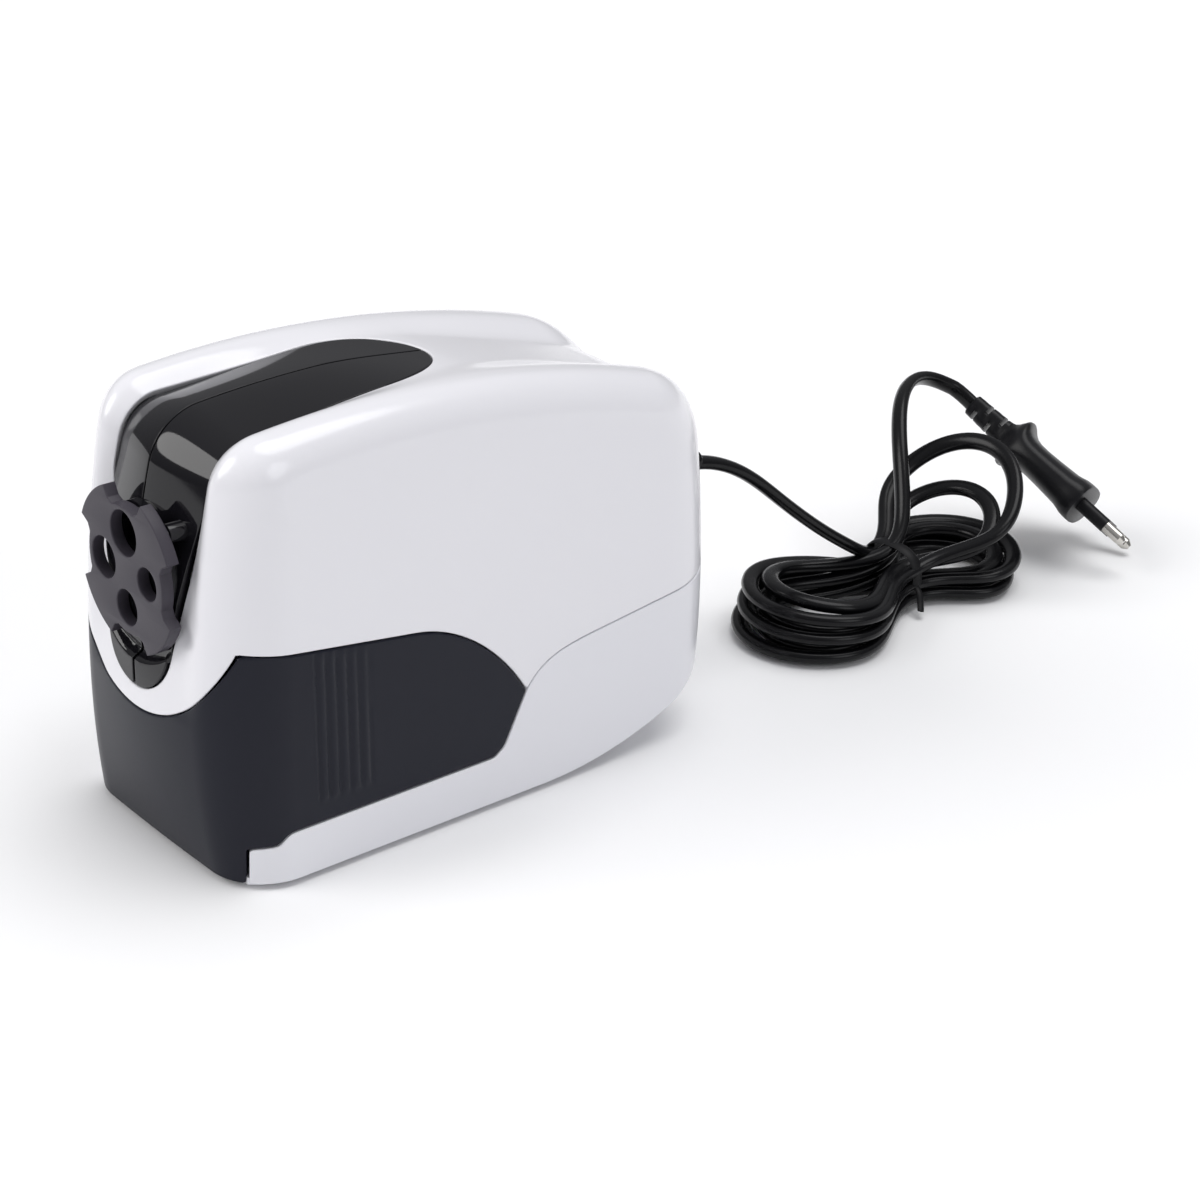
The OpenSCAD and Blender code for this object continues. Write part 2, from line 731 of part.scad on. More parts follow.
// ---- drawer interlock and mains terminals ----
lock_spot = [-15, 34];
module interlock_switch() color("#26262a")
    difference() {
        translate([lock_spot[0] - 5, -21, lock_spot[1] - 7])
            cube([10, 12, 14]);
        on_axis(lock_spot[0], lock_spot[1], -22, -12, 2.06);
    }
module interlock_plunger() color("#c03028")
    on_axis(lock_spot[0], lock_spot[1], box_back + 0.3, -13, 2);
module terminal_block() color("#e8e8e8")
    difference() {
        union() {
            translate([-12, 4, 3.4])
                cube([24, 10, 11]);
            translate([-16, 5.5, 3.4])
                cube([32, 7, 2]);
        }
        for (x = [-7, 0, 7])
            translate([x, 9, 8])
                cylinder(h = 20, r = 2);
    }

// ---- mains lead ----
relief_end = 104;
module strain_relief() color("#18181a")
    difference() {
        union() {
            on_axis(0, lead_z, 76.8, 78, 6);
            on_axis(0, lead_z, 77, boss_y + 1, 4.5);
            on_axis(0, lead_z, boss_y, boss_y + 1.8, 6.2);
            translate([0, boss_y, lead_z])
                rotate([-90, 0, 0])
                    cylinder(h = relief_end - boss_y, r1 = 4.6, r2 = 3.4);
        }
        on_axis(0, lead_z, 70, 110, lead_d / 2 + 0.08);
    }
function unit(v) = v / norm(v);
// Smooth path through the way points p, n steps between neighbours
function smooth(p, n) = [for (i = [0:len(p) - 2]) for (j = [0:n - 1]) let (
    t = j / n, a = p[max(0, i - 1)], b = p[i], c = p[i + 1], d = p[min(len(p) - 1, i + 2)])
    0.5 * (2 * b + (c - a) * t + (2 * a - 5 * b + 4 * c - d) * t * t
        + (3 * b - a - 3 * c + d) * t * t * t)];
module tube(path, r, ref, sides = 10) {
    n = len(path);
    pts = [for (i = [0:n - 1]) let (
        t = unit(path[min(n - 1, i + 1)] - path[max(0, i - 1)]),
        u = unit(cross(ref, t)), v = cross(t, u))
        for (j = [0:sides - 1]) let (a = 360 * j / sides)
            path[i] + r * cos(a) * u + r * sin(a) * v];
    skin_faces = [for (i = [0:n - 2]) for (j = [0:sides - 1]) let (
        a = i * sides + j, b = i * sides + (j + 1) % sides)
        each [[a, a + sides, b], [b, a + sides, b + sides]]];
    polyhedron(pts, concat(skin_faces, [[for (j = [0:sides - 1]) j],
        [for (j = [sides - 1:-1:0]) (n - 1) * sides + j]]));
}
cord_points = [[0, rear_y - 10, lead_z], [0, 92, lead_z], [0, relief_end, 60.7], [1, 112, 58.4],
    [2.6, 123, 52], [4.2, 135, 41.5], [5.8, 146.5, 30.6], [7, 156.5, 24.4], [8, 163, 22.4]];
module power_cord() color("#141416")
    tube(concat(smooth(cord_points, 5), [[8, 163, 22.4]]), lead_d / 2, [1, 0, 0]);
hank_mid = 4;
hank_y0 = 140;
hank_y1 = 216;
hank_half = 19;
module cord_hank() color("#141416")
    translate([0, 0, 0.2])
        linear_extrude(20)
            polygon(concat(
                [for (a = [0:15:180]) [hank_mid + hank_half * cos(a), hank_y1 + hank_half * sin(a)]],
                [for (a = [180:15:360]) [hank_mid + hank_half * cos(a), hank_y0 + hank_half * sin(a)]]));
module cord_tie() color("#141416")
    difference() {
        translate([hank_mid - hank_half - 1.2, 174, 0])
            cube([2 * hank_half + 2.4, 7, 21.4]);
        translate([hank_mid - hank_half, 170, 0.2])
            cube([2 * hank_half, 20, 20]);
    }
plug_from = [-17, 242, 40];
plug_a = unit([58, 14, -33]);
plug_w = let (w = [-0.585, 0.716, -0.381]) unit(w - (w * plug_a) * plug_a);
plug_t = cross(plug_a, plug_w);
module plug_frame() {
    multmatrix([[plug_w[0], plug_t[0], plug_a[0], plug_from[0]],
        [plug_w[1], plug_t[1], plug_a[1], plug_from[1]],
        [plug_w[2], plug_t[2], plug_a[2], plug_from[2]]])
        children();
}
lead_points = [[8, 190, 22.3], [7, 196, 34], [-2, 208, 47], [-14, 222, 55], [-25, 234, 55],
    [-27, 240, 48], plug_from, plug_from + 4 * plug_a];
module plug_lead() color("#141416")
    tube(concat(smooth(lead_points, 5), [plug_from + 4 * plug_a]), lead_d / 2, [0.6, 0, 1]);
module plug_body() color("#18181a")
    plug_frame()
        difference() {
            union() {
                cylinder(h = 20, r1 = 3.6, r2 = 4.6);
                translate([0, 6, 0])
                    rotate([90, 0, 0])
                        linear_extrude(12)
                            polygon([[-5, 14], [5, 14], [11.6, 19.5], [14.6, 25], [17.6, 45],
                                [17.6, 49.5], [-17.6, 49.5], [-17.6, 45], [-14.6, 25],
                                [-11.6, 19.5]]);
                translate([0, 8.8, 0])
                    rotate([90, 0, 0])
                        linear_extrude(17.6)
                            polygon([[-9, 17.5], [9, 17.5], [12, 20], [12, 21], [-12, 21],
                                [-12, 20]]);
            }
            translate([0, 0, -1])
                cylinder(h = 5, r = lead_d / 2 + 0.08);
            for (x = [-9.5, 9.5])
                translate([x, 0, 40])
                    cylinder(h = 20, r = 2);
        }
module plug_sleeves() color("#18181a")
    plug_frame()
        for (x = [-9.5, 9.5])
            translate([x, 0, 49.5])
                difference() {
                    cylinder(h = 11, r = 2.35);
                    translate([0, 0, -1])
                        cylinder(h = 13, r = 2);
                }
module plug_pins() color("silver")
    plug_frame()
        for (x = [-9.5, 9.5])
            translate([x, 0, 40]) {
                cylinder(h = 26.6, r = 2);
                translate([0, 0, 26.6])
                    cylinder(h = 1.6, r1 = 2, r2 = 0.9);
            }

upper_housing();
lower_housing();
front_insert();
selector_dial();
dial_clip();
detent_ball();
detent_spring();
shavings_drawer();
rubber_feet();
housing_screws();
front_frame();
pencil_guide();
ring_gear();
start_lever();
lever_pin();
start_switch();
cutter_carrier();
main_gear();
helical_cutter();
cutter_pinion();
cutter_pin();
gear_plate();
carrier_bush();
compound_gear();
compound_shaft();
motor_plate();
plate_spacers();
motor_pinion();
motor_shaft();
rotor_core();
cooling_fan();
stator_core();
field_coil();
front_bracket();
rear_bracket();
motor_bolts();
interlock_switch();
interlock_plunger();
terminal_block();
strain_relief();
power_cord();
cord_hank();
cord_tie();
plug_lead();
plug_body();
plug_sleeves();
plug_pins();
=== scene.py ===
"""Electric pencil sharpener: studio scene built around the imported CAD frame."""
import json
import math

import bmesh
import bpy
import numpy as np
from mathutils import Matrix, Vector


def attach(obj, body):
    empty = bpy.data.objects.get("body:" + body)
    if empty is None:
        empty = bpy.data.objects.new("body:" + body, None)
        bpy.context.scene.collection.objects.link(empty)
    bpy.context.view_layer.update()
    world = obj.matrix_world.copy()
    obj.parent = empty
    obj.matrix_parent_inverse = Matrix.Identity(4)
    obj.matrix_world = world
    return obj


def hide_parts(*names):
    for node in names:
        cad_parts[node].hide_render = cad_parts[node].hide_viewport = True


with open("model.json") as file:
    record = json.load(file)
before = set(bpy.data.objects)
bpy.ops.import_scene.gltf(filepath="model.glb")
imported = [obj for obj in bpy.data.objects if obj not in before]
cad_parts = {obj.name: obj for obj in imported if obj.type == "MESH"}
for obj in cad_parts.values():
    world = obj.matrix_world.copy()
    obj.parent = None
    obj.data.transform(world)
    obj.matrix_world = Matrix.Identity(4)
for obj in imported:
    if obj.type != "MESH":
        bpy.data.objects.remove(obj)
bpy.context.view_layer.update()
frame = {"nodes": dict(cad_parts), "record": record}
scene = bpy.context.scene
NODES = frame["nodes"]
MM = 0.001


# ------------------------------------------------------------------ camera
CAM_AZ, CAM_EL, CAM_ROLL = math.radians(49.3), math.radians(25.8), math.radians(1.7)
CAM_AT = (0.53202, -0.38919, 0.365)
CAM_LENS, CAM_SENSOR = 81.0, 36.0


def add_camera():
    """Camera at CAM_AT, turned by its azimuth, elevation and roll."""
    az, el, roll = CAM_AZ, CAM_EL, CAM_ROLL
    back = np.array([math.sin(az) * math.cos(el), -math.cos(az) * math.cos(el), math.sin(el)])
    right = np.array([math.cos(az), math.sin(az), 0.0])
    up = np.cross(back, right)
    right, up = right * math.cos(roll) + up * math.sin(roll), up * math.cos(roll) - right * math.sin(roll)
    data = bpy.data.cameras.new("camera")
    data.lens = CAM_LENS
    data.sensor_width = CAM_SENSOR
    data.clip_start = 0.05
    data.clip_end = 50.0
    cam = bpy.data.objects.new("camera", data)
    scene.collection.objects.link(cam)
    m = Matrix.Identity(4)
    for i in range(3):
        m[i][0], m[i][1], m[i][2] = right[i], up[i], back[i]
    m.translation = Vector(CAM_AT)
    cam.matrix_world = m
    scene.camera = cam


add_camera()


# --------------------------------------------------------------- materials
def new_material(name):
    m = bpy.data.materials.new(name)
    m.use_nodes = True
    nt = m.node_tree
    return m, nt, nt.nodes["Principled BSDF"]


CLOUD_SCALE = 14.0  # size of the slow colour clouds, in noise cells per metre
BUMP_DEPTH = 0.0002


def new_noise(nodes, scale, detail):
    noise = nodes.new("ShaderNodeTexNoise")
    noise.inputs["Scale"].default_value = scale
    noise.inputs["Detail"].default_value = detail
    return noise


def plastic(name, colour, rough, tint=0.03, grain=900.0, bump=0.02, coat=0.0, spec=0.5, metal=0.0,
            rough_spread=0.05, coat_rough=0.08):
    """Moulded plastic or metal: slow colour clouds, fine surface grain and uneven gloss."""
    m, nt, b = new_material(name)
    n, l = nt.nodes, nt.links
    b.inputs["Metallic"].default_value = metal
    b.inputs["Specular IOR Level"].default_value = spec
    b.inputs["IOR"].default_value = 1.5
    b.inputs["Coat Weight"].default_value = coat
    b.inputs["Coat Roughness"].default_value = coat_rough
    tc = n.new("ShaderNodeTexCoord")
    big = new_noise(n, CLOUD_SCALE, 3.0)
    fine = new_noise(n, grain, 2.0)
    l.new(tc.outputs["Object"], big.inputs["Vector"])
    l.new(tc.outputs["Object"], fine.inputs["Vector"])
    ramp = n.new("ShaderNodeMapRange")
    ramp.inputs["To Min"].default_value = 1.0 - tint
    ramp.inputs["To Max"].default_value = 1.0 + tint
    l.new(big.outputs["Fac"], ramp.inputs["Value"])
    mix = n.new("ShaderNodeMix")
    mix.data_type = "RGBA"
    mix.blend_type = "MULTIPLY"
    mix.inputs["Factor"].default_value = 1.0
    mix.inputs["A"].default_value = (*colour, 1.0)
    l.new(ramp.outputs["Result"], mix.inputs["B"])
    l.new(mix.outputs["Result"], b.inputs["Base Color"])
    gloss = n.new("ShaderNodeMapRange")
    gloss.inputs["To Min"].default_value = max(0.02, rough - rough_spread)
    gloss.inputs["To Max"].default_value = rough + rough_spread
    l.new(fine.outputs["Fac"], gloss.inputs["Value"])
    l.new(gloss.outputs["Result"], b.inputs["Roughness"])
    relief = n.new("ShaderNodeBump")
    relief.inputs["Strength"].default_value = bump
    relief.inputs["Distance"].default_value = BUMP_DEPTH
    l.new(fine.outputs["Fac"], relief.inputs["Height"])
    l.new(relief.outputs["Normal"], b.inputs["Normal"])
    return m


MAT = {
    "white_shell": plastic("white_shell", (0.83, 0.825, 0.86), 0.20, tint=0.010, grain=2400, bump=0.02,
                           rough_spread=0.03, coat=0.25, coat_rough=0.12),
    "base_shell": plastic("base_shell", (0.80, 0.80, 0.84), 0.24, tint=0.010, grain=2400, bump=0.02,
                          rough_spread=0.03, coat=0.15, coat_rough=0.15),
    "black_gloss": plastic("black_gloss", (0.0065, 0.0062, 0.008), 0.07, tint=0.05, grain=1500, bump=0.008,
                           rough_spread=0.02, spec=0.4),
    "dial_grey": plastic("dial_grey", (0.046, 0.041, 0.053), 0.46, spec=0.3, tint=0.05, grain=3200, bump=0.10,
                         rough_spread=0.05),
    "drawer_navy": plastic("drawer_navy", (0.0075, 0.0085, 0.0165), 0.34, tint=0.05, grain=2600, bump=0.03,
                           rough_spread=0.04, spec=0.22),
    "rubber_black": plastic("rubber_black", (0.03, 0.03, 0.03), 0.75, grain=1800, bump=0.2),
    "steel": plastic("steel", (0.55, 0.55, 0.56), 0.26, metal=1.0, grain=1200, bump=0.05),
    "zinc_plate": plastic("zinc_plate", (0.52, 0.53, 0.55), 0.36, metal=1.0, tint=0.08, grain=700, bump=0.06),
    "nylon": plastic("nylon", (0.74, 0.72, 0.66), 0.42, grain=1500, bump=0.05),
    "black_plastic": plastic("black_plastic", (0.02, 0.02, 0.022), 0.42, grain=1800, bump=0.08),
    "cast_metal": plastic("cast_metal", (0.42, 0.42, 0.44), 0.5, metal=1.0, tint=0.1, grain=900, bump=0.25),
    "tool_steel": plastic("tool_steel", (0.26, 0.27, 0.29), 0.3, metal=1.0, grain=2000, bump=0.1),
    "brass": plastic("brass", (0.60, 0.42, 0.18), 0.3, metal=1.0, grain=1500, bump=0.05),
    "lamination": plastic("lamination", (0.14, 0.145, 0.16), 0.5, metal=1.0, grain=2600, bump=0.3),
    "winding": plastic("winding", (0.36, 0.13, 0.04), 0.35, metal=0.6, grain=2200, bump=0.4),
    "red_plastic": plastic("red_plastic", (0.45, 0.03, 0.02), 0.35, grain=1800, bump=0.05),
    "cord_black": plastic("cord_black", (0.0040, 0.0040, 0.0048), 0.24, spec=0.22, tint=0.08, grain=1700,
                          bump=0.06, rough_spread=0.05),
    "tie_black": plastic("tie_black", (0.005, 0.005, 0.006), 0.5, spec=0.2, grain=1700, bump=0.1),
    "plug_black": plastic("plug_black", (0.0055, 0.0055, 0.0068), 0.36, spec=0.22, tint=0.06, grain=2600,
                          bump=0.12, rough_spread=0.06),
    "nickel": plastic("nickel", (0.62, 0.60, 0.56), 0.18, metal=1.0, grain=900, bump=0.03),
}
slots = {s["node"]: s["material_slot"] for s in frame["record"]["subparts"]}
for name, obj in NODES.items():
    obj.data.materials.clear()
    obj.data.materials.append(MAT[slots[name]])


# ------------------------------------------------------------ mesh helpers
def make_object(name, verts, faces, slot_name, body, smooth=60.0):
    """Piece from verts in mm; edges sharper than the angle smooth stay sharp."""
    me = bpy.data.meshes.new(name)
    me.from_pydata([tuple(v * MM for v in p) for p in verts], [], [tuple(int(i) for i in f) for f in faces])
    me.validate()
    bm = bmesh.new()
    bm.from_mesh(me)
    bmesh.ops.remove_doubles(bm, verts=bm.verts, dist=2e-6)
    bmesh.ops.recalc_face_normals(bm, faces=bm.faces)
    bm.to_mesh(me)
    bm.free()
    me.materials.append(MAT[slot_name])
    me.shade_smooth()
    me.set_sharp_from_angle(angle=math.radians(smooth))
    return add_piece(name, me, body)


def add_piece(name, me, body):
    ob = bpy.data.objects.new(name, me)
    scene.collection.objects.link(ob)
    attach(ob, body)
    return ob


def superpower(v, power):
    """Signed power of a cosine or sine, which squares off an oval."""
    return math.copysign(abs(v) ** power, v)


def tube_faces(rings, sides):
    """Faces of a closed tube made of rings with the same number of sides."""
    fs = []
    for i in range(rings - 1):
        for k in range(sides):
            j = (k + 1) % sides
            fs.append((i * sides + k, i * sides + j, (i + 1) * sides + j, (i + 1) * sides + k))
    fs.append(tuple(reversed(range(sides))))
    fs.append(tuple((rings - 1) * sides + k for k in range(sides)))
    return fs


def join_parts(parts):
    """Joins (verts, faces) pairs into one list of each."""
    vs, fs = [], []
    for v, f in parts:
        k = len(vs)
        vs += [tuple(p) for p in v]
        fs += [tuple(i + k for i in q) for q in f]
    return vs, fs


def revolve(profile, axis_point, axis, n=64, close=False):
    """Turns (radius, along) pairs about an axis; returns verts and faces."""
    a = Vector(axis).normalized()
    u = a.orthogonal().normalized()
    v = a.cross(u)
    o = Vector(axis_point)
    vs, fs = [], []
    k = len(profile)
    for i in range(n):
        t = 2 * math.pi * i / n
        d = u * math.cos(t) + v * math.sin(t)
        for r, h in profile:
            vs.append(tuple(o + a * h + d * r))
    for i in range(n):
        j = (i + 1) % n
        for q in range(k if close else k - 1):
            w = (q + 1) % k
            fs.append((i * k + q, j * k + q, j * k + w, i * k + w))
    if not close:
        fs.append(tuple(i * k for i in range(n)))
        fs.append(tuple(i * k + k - 1 for i in reversed(range(n))))
    return vs, fs


def smooth_path(points, step):
    """Catmull-Rom line through the points, resampled at an even step."""
    p = [np.array(q, float) for q in points]
    out = []
    for i in range(len(p) - 1):
        a, b, c, d = p[max(0, i - 1)], p[i], p[i + 1], p[min(len(p) - 1, i + 2)]
        for t in np.linspace(0, 1, 24, endpoint=False):
            out.append(0.5 * (2 * b + (c - a) * t + (2 * a - 5 * b + 4 * c - d) * t * t
                              + (3 * b - a - 3 * c + d) * t ** 3))
    out.append(p[-1])
    out = np.array(out)
    s = np.concatenate([[0], np.cumsum(np.linalg.norm(np.diff(out, axis=0), axis=1))])
    n = max(2, int(round(s[-1] / step)) + 1)
    t = np.linspace(0, s[-1], n)
    return np.column_stack([np.interp(t, s, out[:, k]) for k in range(3)])


def sweep(path, half_wide, half_thick, up0, sides=14, power=2.0):
    """Oval section carried along a path without twist."""
    path = np.asarray(path, float)
    n = len(path)
    tan = np.gradient(path, axis=0)
    tan /= np.linalg.norm(tan, axis=1)[:, None]
    u = np.array(up0, float)
    vs = []
    for i in range(n):
        u = u - tan[i] * u.dot(tan[i])
        u /= np.linalg.norm(u)
        v = np.cross(tan[i], u)
        for k in range(sides):
            a = 2 * math.pi * k / sides
            ra, rb = superpower(math.cos(a), 2 / power), superpower(math.sin(a), 2 / power)
            vs.append(tuple(path[i] + u * (half_thick * ra) + v * (half_wide * rb)))
    return vs, tube_faces(n, sides)


# ---------------------------------------------- skin of the housing, in mm
HALF_W, TOP_Z, FOOT = 40.5, 119.8, 1.0
FRONT_Y, REAR_Y = -85.5, 83.5
LEAN = 0.03  # how far a side leans in for each mm of height
R_SHOULDER, R_FRONT, R_REAR = 10.5, 16.0, 20.0  # edge radii across the roof, front and rear
HOLLOW = 4.8  # depth of the roof's middle below its shoulders
RAIL_Z = 15.0  # top of the base's side rails
BOW_Z, BOW_R = 76.0, 35.4  # round lower edge of the upper shell's front
DIAL_Z, DIAL_Y, TAB_BACK = 78.7, -86.3, -82.8
SEAT_Y, BOSS_BACK, GUIDE_Y = -82.4, -77.2, -75.4  # front and back of the dial's seat, front of the pencil guide
HOLE_PITCH, BORE_R = 10.1, 6.3  # pencil hole's distance from the dial's axis, bore in the seat
LEAD_Z, BOSS_Y = 61.0, 86.2
FRONT_R, ROOF_R, BACK_R = 220.0, 327.0, 300.0  # side profile's three long arcs
BROW_R, NAPE_R, HEEL_R = 17.0, 30.0, 26.0  # and the arcs that join them


def nested(c1, r1, c2, r2, r, side):
    """Centre of an arc of radius r that touches two arcs from inside."""
    a, b = r1 - r, r2 - r
    v = np.subtract(c2, c1)
    d = np.linalg.norm(v)
    along = (a * a - b * b + d * d) / (2 * d)
    across = side * math.sqrt(a * a - along * along)
    u = v / d
    return np.array(c1) + along * u + across * np.array([-u[1], u[0]])


def heading(a, b):
    """Direction from a to b in degrees, from -90 to 270."""
    t = math.degrees(math.atan2(b[1] - a[1], b[0] - a[0]))
    return t + 360 if t < -90 else t


front_c = (FRONT_Y + FRONT_R, 49.6)
roof_c = (-30.0, TOP_Z - ROOF_R)
back_c = (REAR_Y - BACK_R, 45.0)
brow_c = nested(front_c, FRONT_R, roof_c, ROOF_R, BROW_R, -1)
nape_c = nested(back_c, BACK_R, roof_c, ROOF_R, NAPE_R, 1)
heel_z = HEEL_R - 4
heel_c = (back_c[0] + math.sqrt((BACK_R - HEEL_R) ** 2 - (heel_z - back_c[1]) ** 2), heel_z)
ARCS = [
    (front_c, FRONT_R, 180 + math.degrees(math.asin((front_c[1] - FOOT) / FRONT_R)), heading(front_c, brow_c)),
    (brow_c, BROW_R, heading(front_c, brow_c), heading(roof_c, brow_c)),
    (roof_c, ROOF_R, heading(roof_c, brow_c), heading(roof_c, nape_c)),
    (nape_c, NAPE_R, heading(roof_c, nape_c), heading(back_c, nape_c)),
    (back_c, BACK_R, heading(back_c, nape_c), heading(back_c, heel_c)),
    (heel_c, HEEL_R, heading(back_c, heel_c), -math.degrees(math.asin((heel_z - FOOT) / HEEL_R))),
]
ARC_LEN = [r * math.radians(abs(b - a)) for c, r, a, b in ARCS]
ARC_AT = np.concatenate([[0], np.cumsum(ARC_LEN)])
S_END = float(ARC_AT[-1])


def profile(s):
    """Side profile at arc length s: y, z and the outward normal."""
    s = np.asarray(s, float)
    y, z, ny, nz = (np.zeros_like(s) for _ in range(4))
    for k, (c, r, a, b) in enumerate(ARCS):
        m = (s >= ARC_AT[k]) if k else np.ones(s.shape, bool)
        t = np.radians(a + (b - a) * (s - ARC_AT[k]) / ARC_LEN[k])
        y = np.where(m, c[0] + r * np.cos(t), y)
        z = np.where(m, c[1] + r * np.sin(t), z)
        ny = np.where(m, np.cos(t), ny)
        nz = np.where(m, np.sin(t), nz)
    return y, z, ny, nz


def ease(v):
    """Smooth step from 0 to 1."""
    v = np.clip(v, 0, 1)
    return v * v * (3 - 2 * v)


def hollow_depth(y, z, ny, nz):
    """Depth of the hollow between the shoulders: it grows up the front and fades towards the rear."""
    rise = np.clip((z - 44) / 72, 0, 1)
    front = (ny < 0) | (y < -40)
    base = np.where(front, HOLLOW * (1 - (1 - rise) ** 2), HOLLOW)
    return base * (1 - ease((y + 60) / 70)) + (HOLLOW - 0.4) * ease((y + 25) / 90) * np.maximum(0, nz)


FLAT_W = 24.5  # half width of the middle, which the across parameter passes evenly
CORNER_S, CORNER_SPREAD, CORNER_REACH = 115, 22, 10  # place and extent of the evening out at the front corner
CAP_Y0, CAP_Y1 = -68.0, 60.0  # ends of the side panel's base line, set below


def skin_top(s, b):
    """Skin of the roof and the front as far as the shoulder's end, before the front corner is evened out."""
    y, z, ny, nz = profile(s)
    mid = np.clip(b, 0, 1) * FLAT_W
    phi = np.clip(b - 1, 0, 1) * math.pi / 2
    x = mid + (HALF_W - FLAT_W) * np.sin(phi)
    u = x / HALF_W
    edge = np.where(ny < 0, R_FRONT, R_REAR)
    r = R_SHOULDER + (edge - R_SHOULDER) * ny * ny
    over = np.maximum(0, x - (HALF_W - r))
    fall = r - np.sqrt(np.maximum(0, r * r - over ** 2))
    bulge = np.where(ny < 0, 0.7 + 5.2 * np.sin(np.pi * np.clip(z / 119, 0, 1)), 2.0)
    d = fall + bulge * u * u * np.abs(ny)
    flat = np.maximum(nz, 0)
    ln = np.sqrt(ny ** 2 + flat ** 2)
    my, mz = ny / ln, flat / ln
    back = ease((y + 30) / 70)  # the hollow's side slopes get softer towards the rear
    h = hollow_depth(y, z, ny, nz) * ease((29 - 2 * back - x) / (11 + 6 * back))
    z0 = np.maximum(FOOT, z - d * mz)
    px = u * (HALF_W - LEAN * z0)
    py = y - d * my - h * ny
    pz = np.maximum(FOOT, z0 - h * flat)
    return px, py, pz


def skin(s, b):
    """Skin point at profile length s and across parameter b: 0..1 middle, 1..2 shoulder, 2..3 side panel."""
    s, b = np.broadcast_arrays(np.asarray(s, float), np.asarray(b, float))
    # the shoulder is wider than the front corner's radius, so its points are averaged along the profile there
    reach = CORNER_REACH * np.clip(b - 1, 0, 1) * np.exp(-((s - CORNER_S) / CORNER_SPREAD) ** 2)
    near = [skin_top(np.clip(s + k * reach, 0, S_END), b) for k in (-1, -0.5, 0, 0.5, 1)]
    px, py, pz = np.mean(near, axis=0)
    # side panel: straight lines from the shoulder's end down to the base line
    t = np.clip(b - 2, 0, 1)
    by = np.interp(s, [0, 95, 118, 300, S_END], [CAP_Y0, -22, 8, 38, CAP_Y1])
    qy = py + (by - py) * t
    qz = pz + (FOOT - pz) * t
    side = b > 2
    return np.stack([np.where(side, HALF_W - LEAN * qz, px), np.where(side, qy, py),
                     np.where(side, qz, pz)], -1)


def skin_normal(s, b):
    """Outward normal of the skin."""
    e = 1e-3
    ds = skin(np.clip(s + e * 30, 0, S_END), b) - skin(np.clip(s - e * 30, 0, S_END), b)
    db = skin(s, np.clip(b + e, 0, 3)) - skin(s, np.clip(b - e, 0, 3))
    n = np.cross(ds, db)
    ln = np.linalg.norm(n, axis=-1, keepdims=True)
    n = n / np.maximum(ln, 1e-12)
    side = np.array([1.0, 0.0, LEAN]) / math.hypot(1, LEAN)
    n = np.where((np.asarray(b) > 1.98)[..., None] | (ln < 1e-9), side, n)
    centre = np.array([0.0, 0.0, 50.0])
    p = skin(s, b) - centre
    flip = (n * (p * np.array([1.0, 0.6, 1.0]))).sum(-1, keepdims=True) < 0
    return np.where(flip, -n, n)


CAP_Y0 = float(skin(0.0, 2.0)[1])
CAP_Y1 = float(skin(S_END, 2.0)[1])


# --------------------------------------------------------- trimming regions
def outline_sd(px, py, poly):
    """Distance to a closed outline, positive inside it."""
    pts = np.array(poly, float)
    best = np.full(px.shape, 1e9)
    inside = np.zeros(px.shape, bool)
    for (ax, ay), (bx, by) in zip(pts, np.roll(pts, -1, axis=0)):
        dx, dy = bx - ax, by - ay
        t = np.clip(((px - ax) * dx + (py - ay) * dy) / (dx * dx + dy * dy), 0, 1)
        best = np.minimum(best, np.hypot(px - ax - t * dx, py - ay - t * dy))
        cross = (ay > py) != (by > py)
        xi = ax + (py - ay) / (by - ay if by != ay else 1e-12) * dx
        inside ^= cross & (px < xi)
    return np.where(inside, best, -best)


def bezier(p0, p1, p2, p3, n):
    """Points on a cubic curve."""
    p0, p1, p2, p3 = (np.array(p, float) for p in (p0, p1, p2, p3))
    out = []
    for t in np.linspace(0, 1, n + 1):
        k = 1 - t
        out.append(tuple(k ** 3 * p0 + 3 * k * k * t * p1 + 3 * k * t * t * p2 + t ** 3 * p3))
    return out


def fillet(poly, index, r, n=6):
    """Rounds one corner of an open polyline."""
    p = np.array(poly[index], float)
    a = np.array(poly[index - 1], float) - p
    b = np.array(poly[index + 1], float) - p
    la, lb = np.linalg.norm(a), np.linalg.norm(b)
    a, b = a / la, b / lb
    half = math.acos(np.clip(a.dot(b), -1, 1)) / 2
    d = min(r / math.tan(half), 0.45 * la, 0.45 * lb)
    p0, p1 = p + a * d, p + b * d
    mid = [tuple((1 - t) ** 2 * p0 + 2 * t * (1 - t) * p + t * t * p1) for t in np.linspace(0, 1, n + 1)]
    return poly[:index] + mid + poly[index + 1:]


FAR = 400.0
TIP = (9.8, 31.6)  # the drawer's rear tip; outlines below are in Y and Z
DRAWER_TOP = [(-FAR, 58.6 + 0.14 * (FAR - 26))] + bezier((-26, 58.6), (-12, 56.8), (1.5, 46), TIP, 24)
PARTING = bezier(TIP, (15, 38), (19, 40.2), (35, 42), 16) + [(FAR, 42 + 0.123 * (FAR - 35))]
LOW_EDGE = [TIP, (2.2, 17.2), (-1.2, RAIL_Z), (-66, RAIL_Z), (-69.2, 12.2), (-76, 11.8), (-76, -FAR)]
for corner, radius in ((5, 0.8), (4, 2.2), (3, 4.0), (2, 3.0), (1, 6.0)):
    LOW_EDGE = fillet(LOW_EDGE, corner, radius)
UPPER_POLY = DRAWER_TOP + PARTING[1:] + [(FAR, FAR), (-FAR, FAR)]
LOWER_POLY = LOW_EDGE + [(FAR, -FAR)] + PARTING[:0:-1]
DRAWER_POLY = DRAWER_TOP + LOW_EDGE[1:] + [(-FAR, -FAR)]
WIN_W = 20.2  # half width of the black strip's window


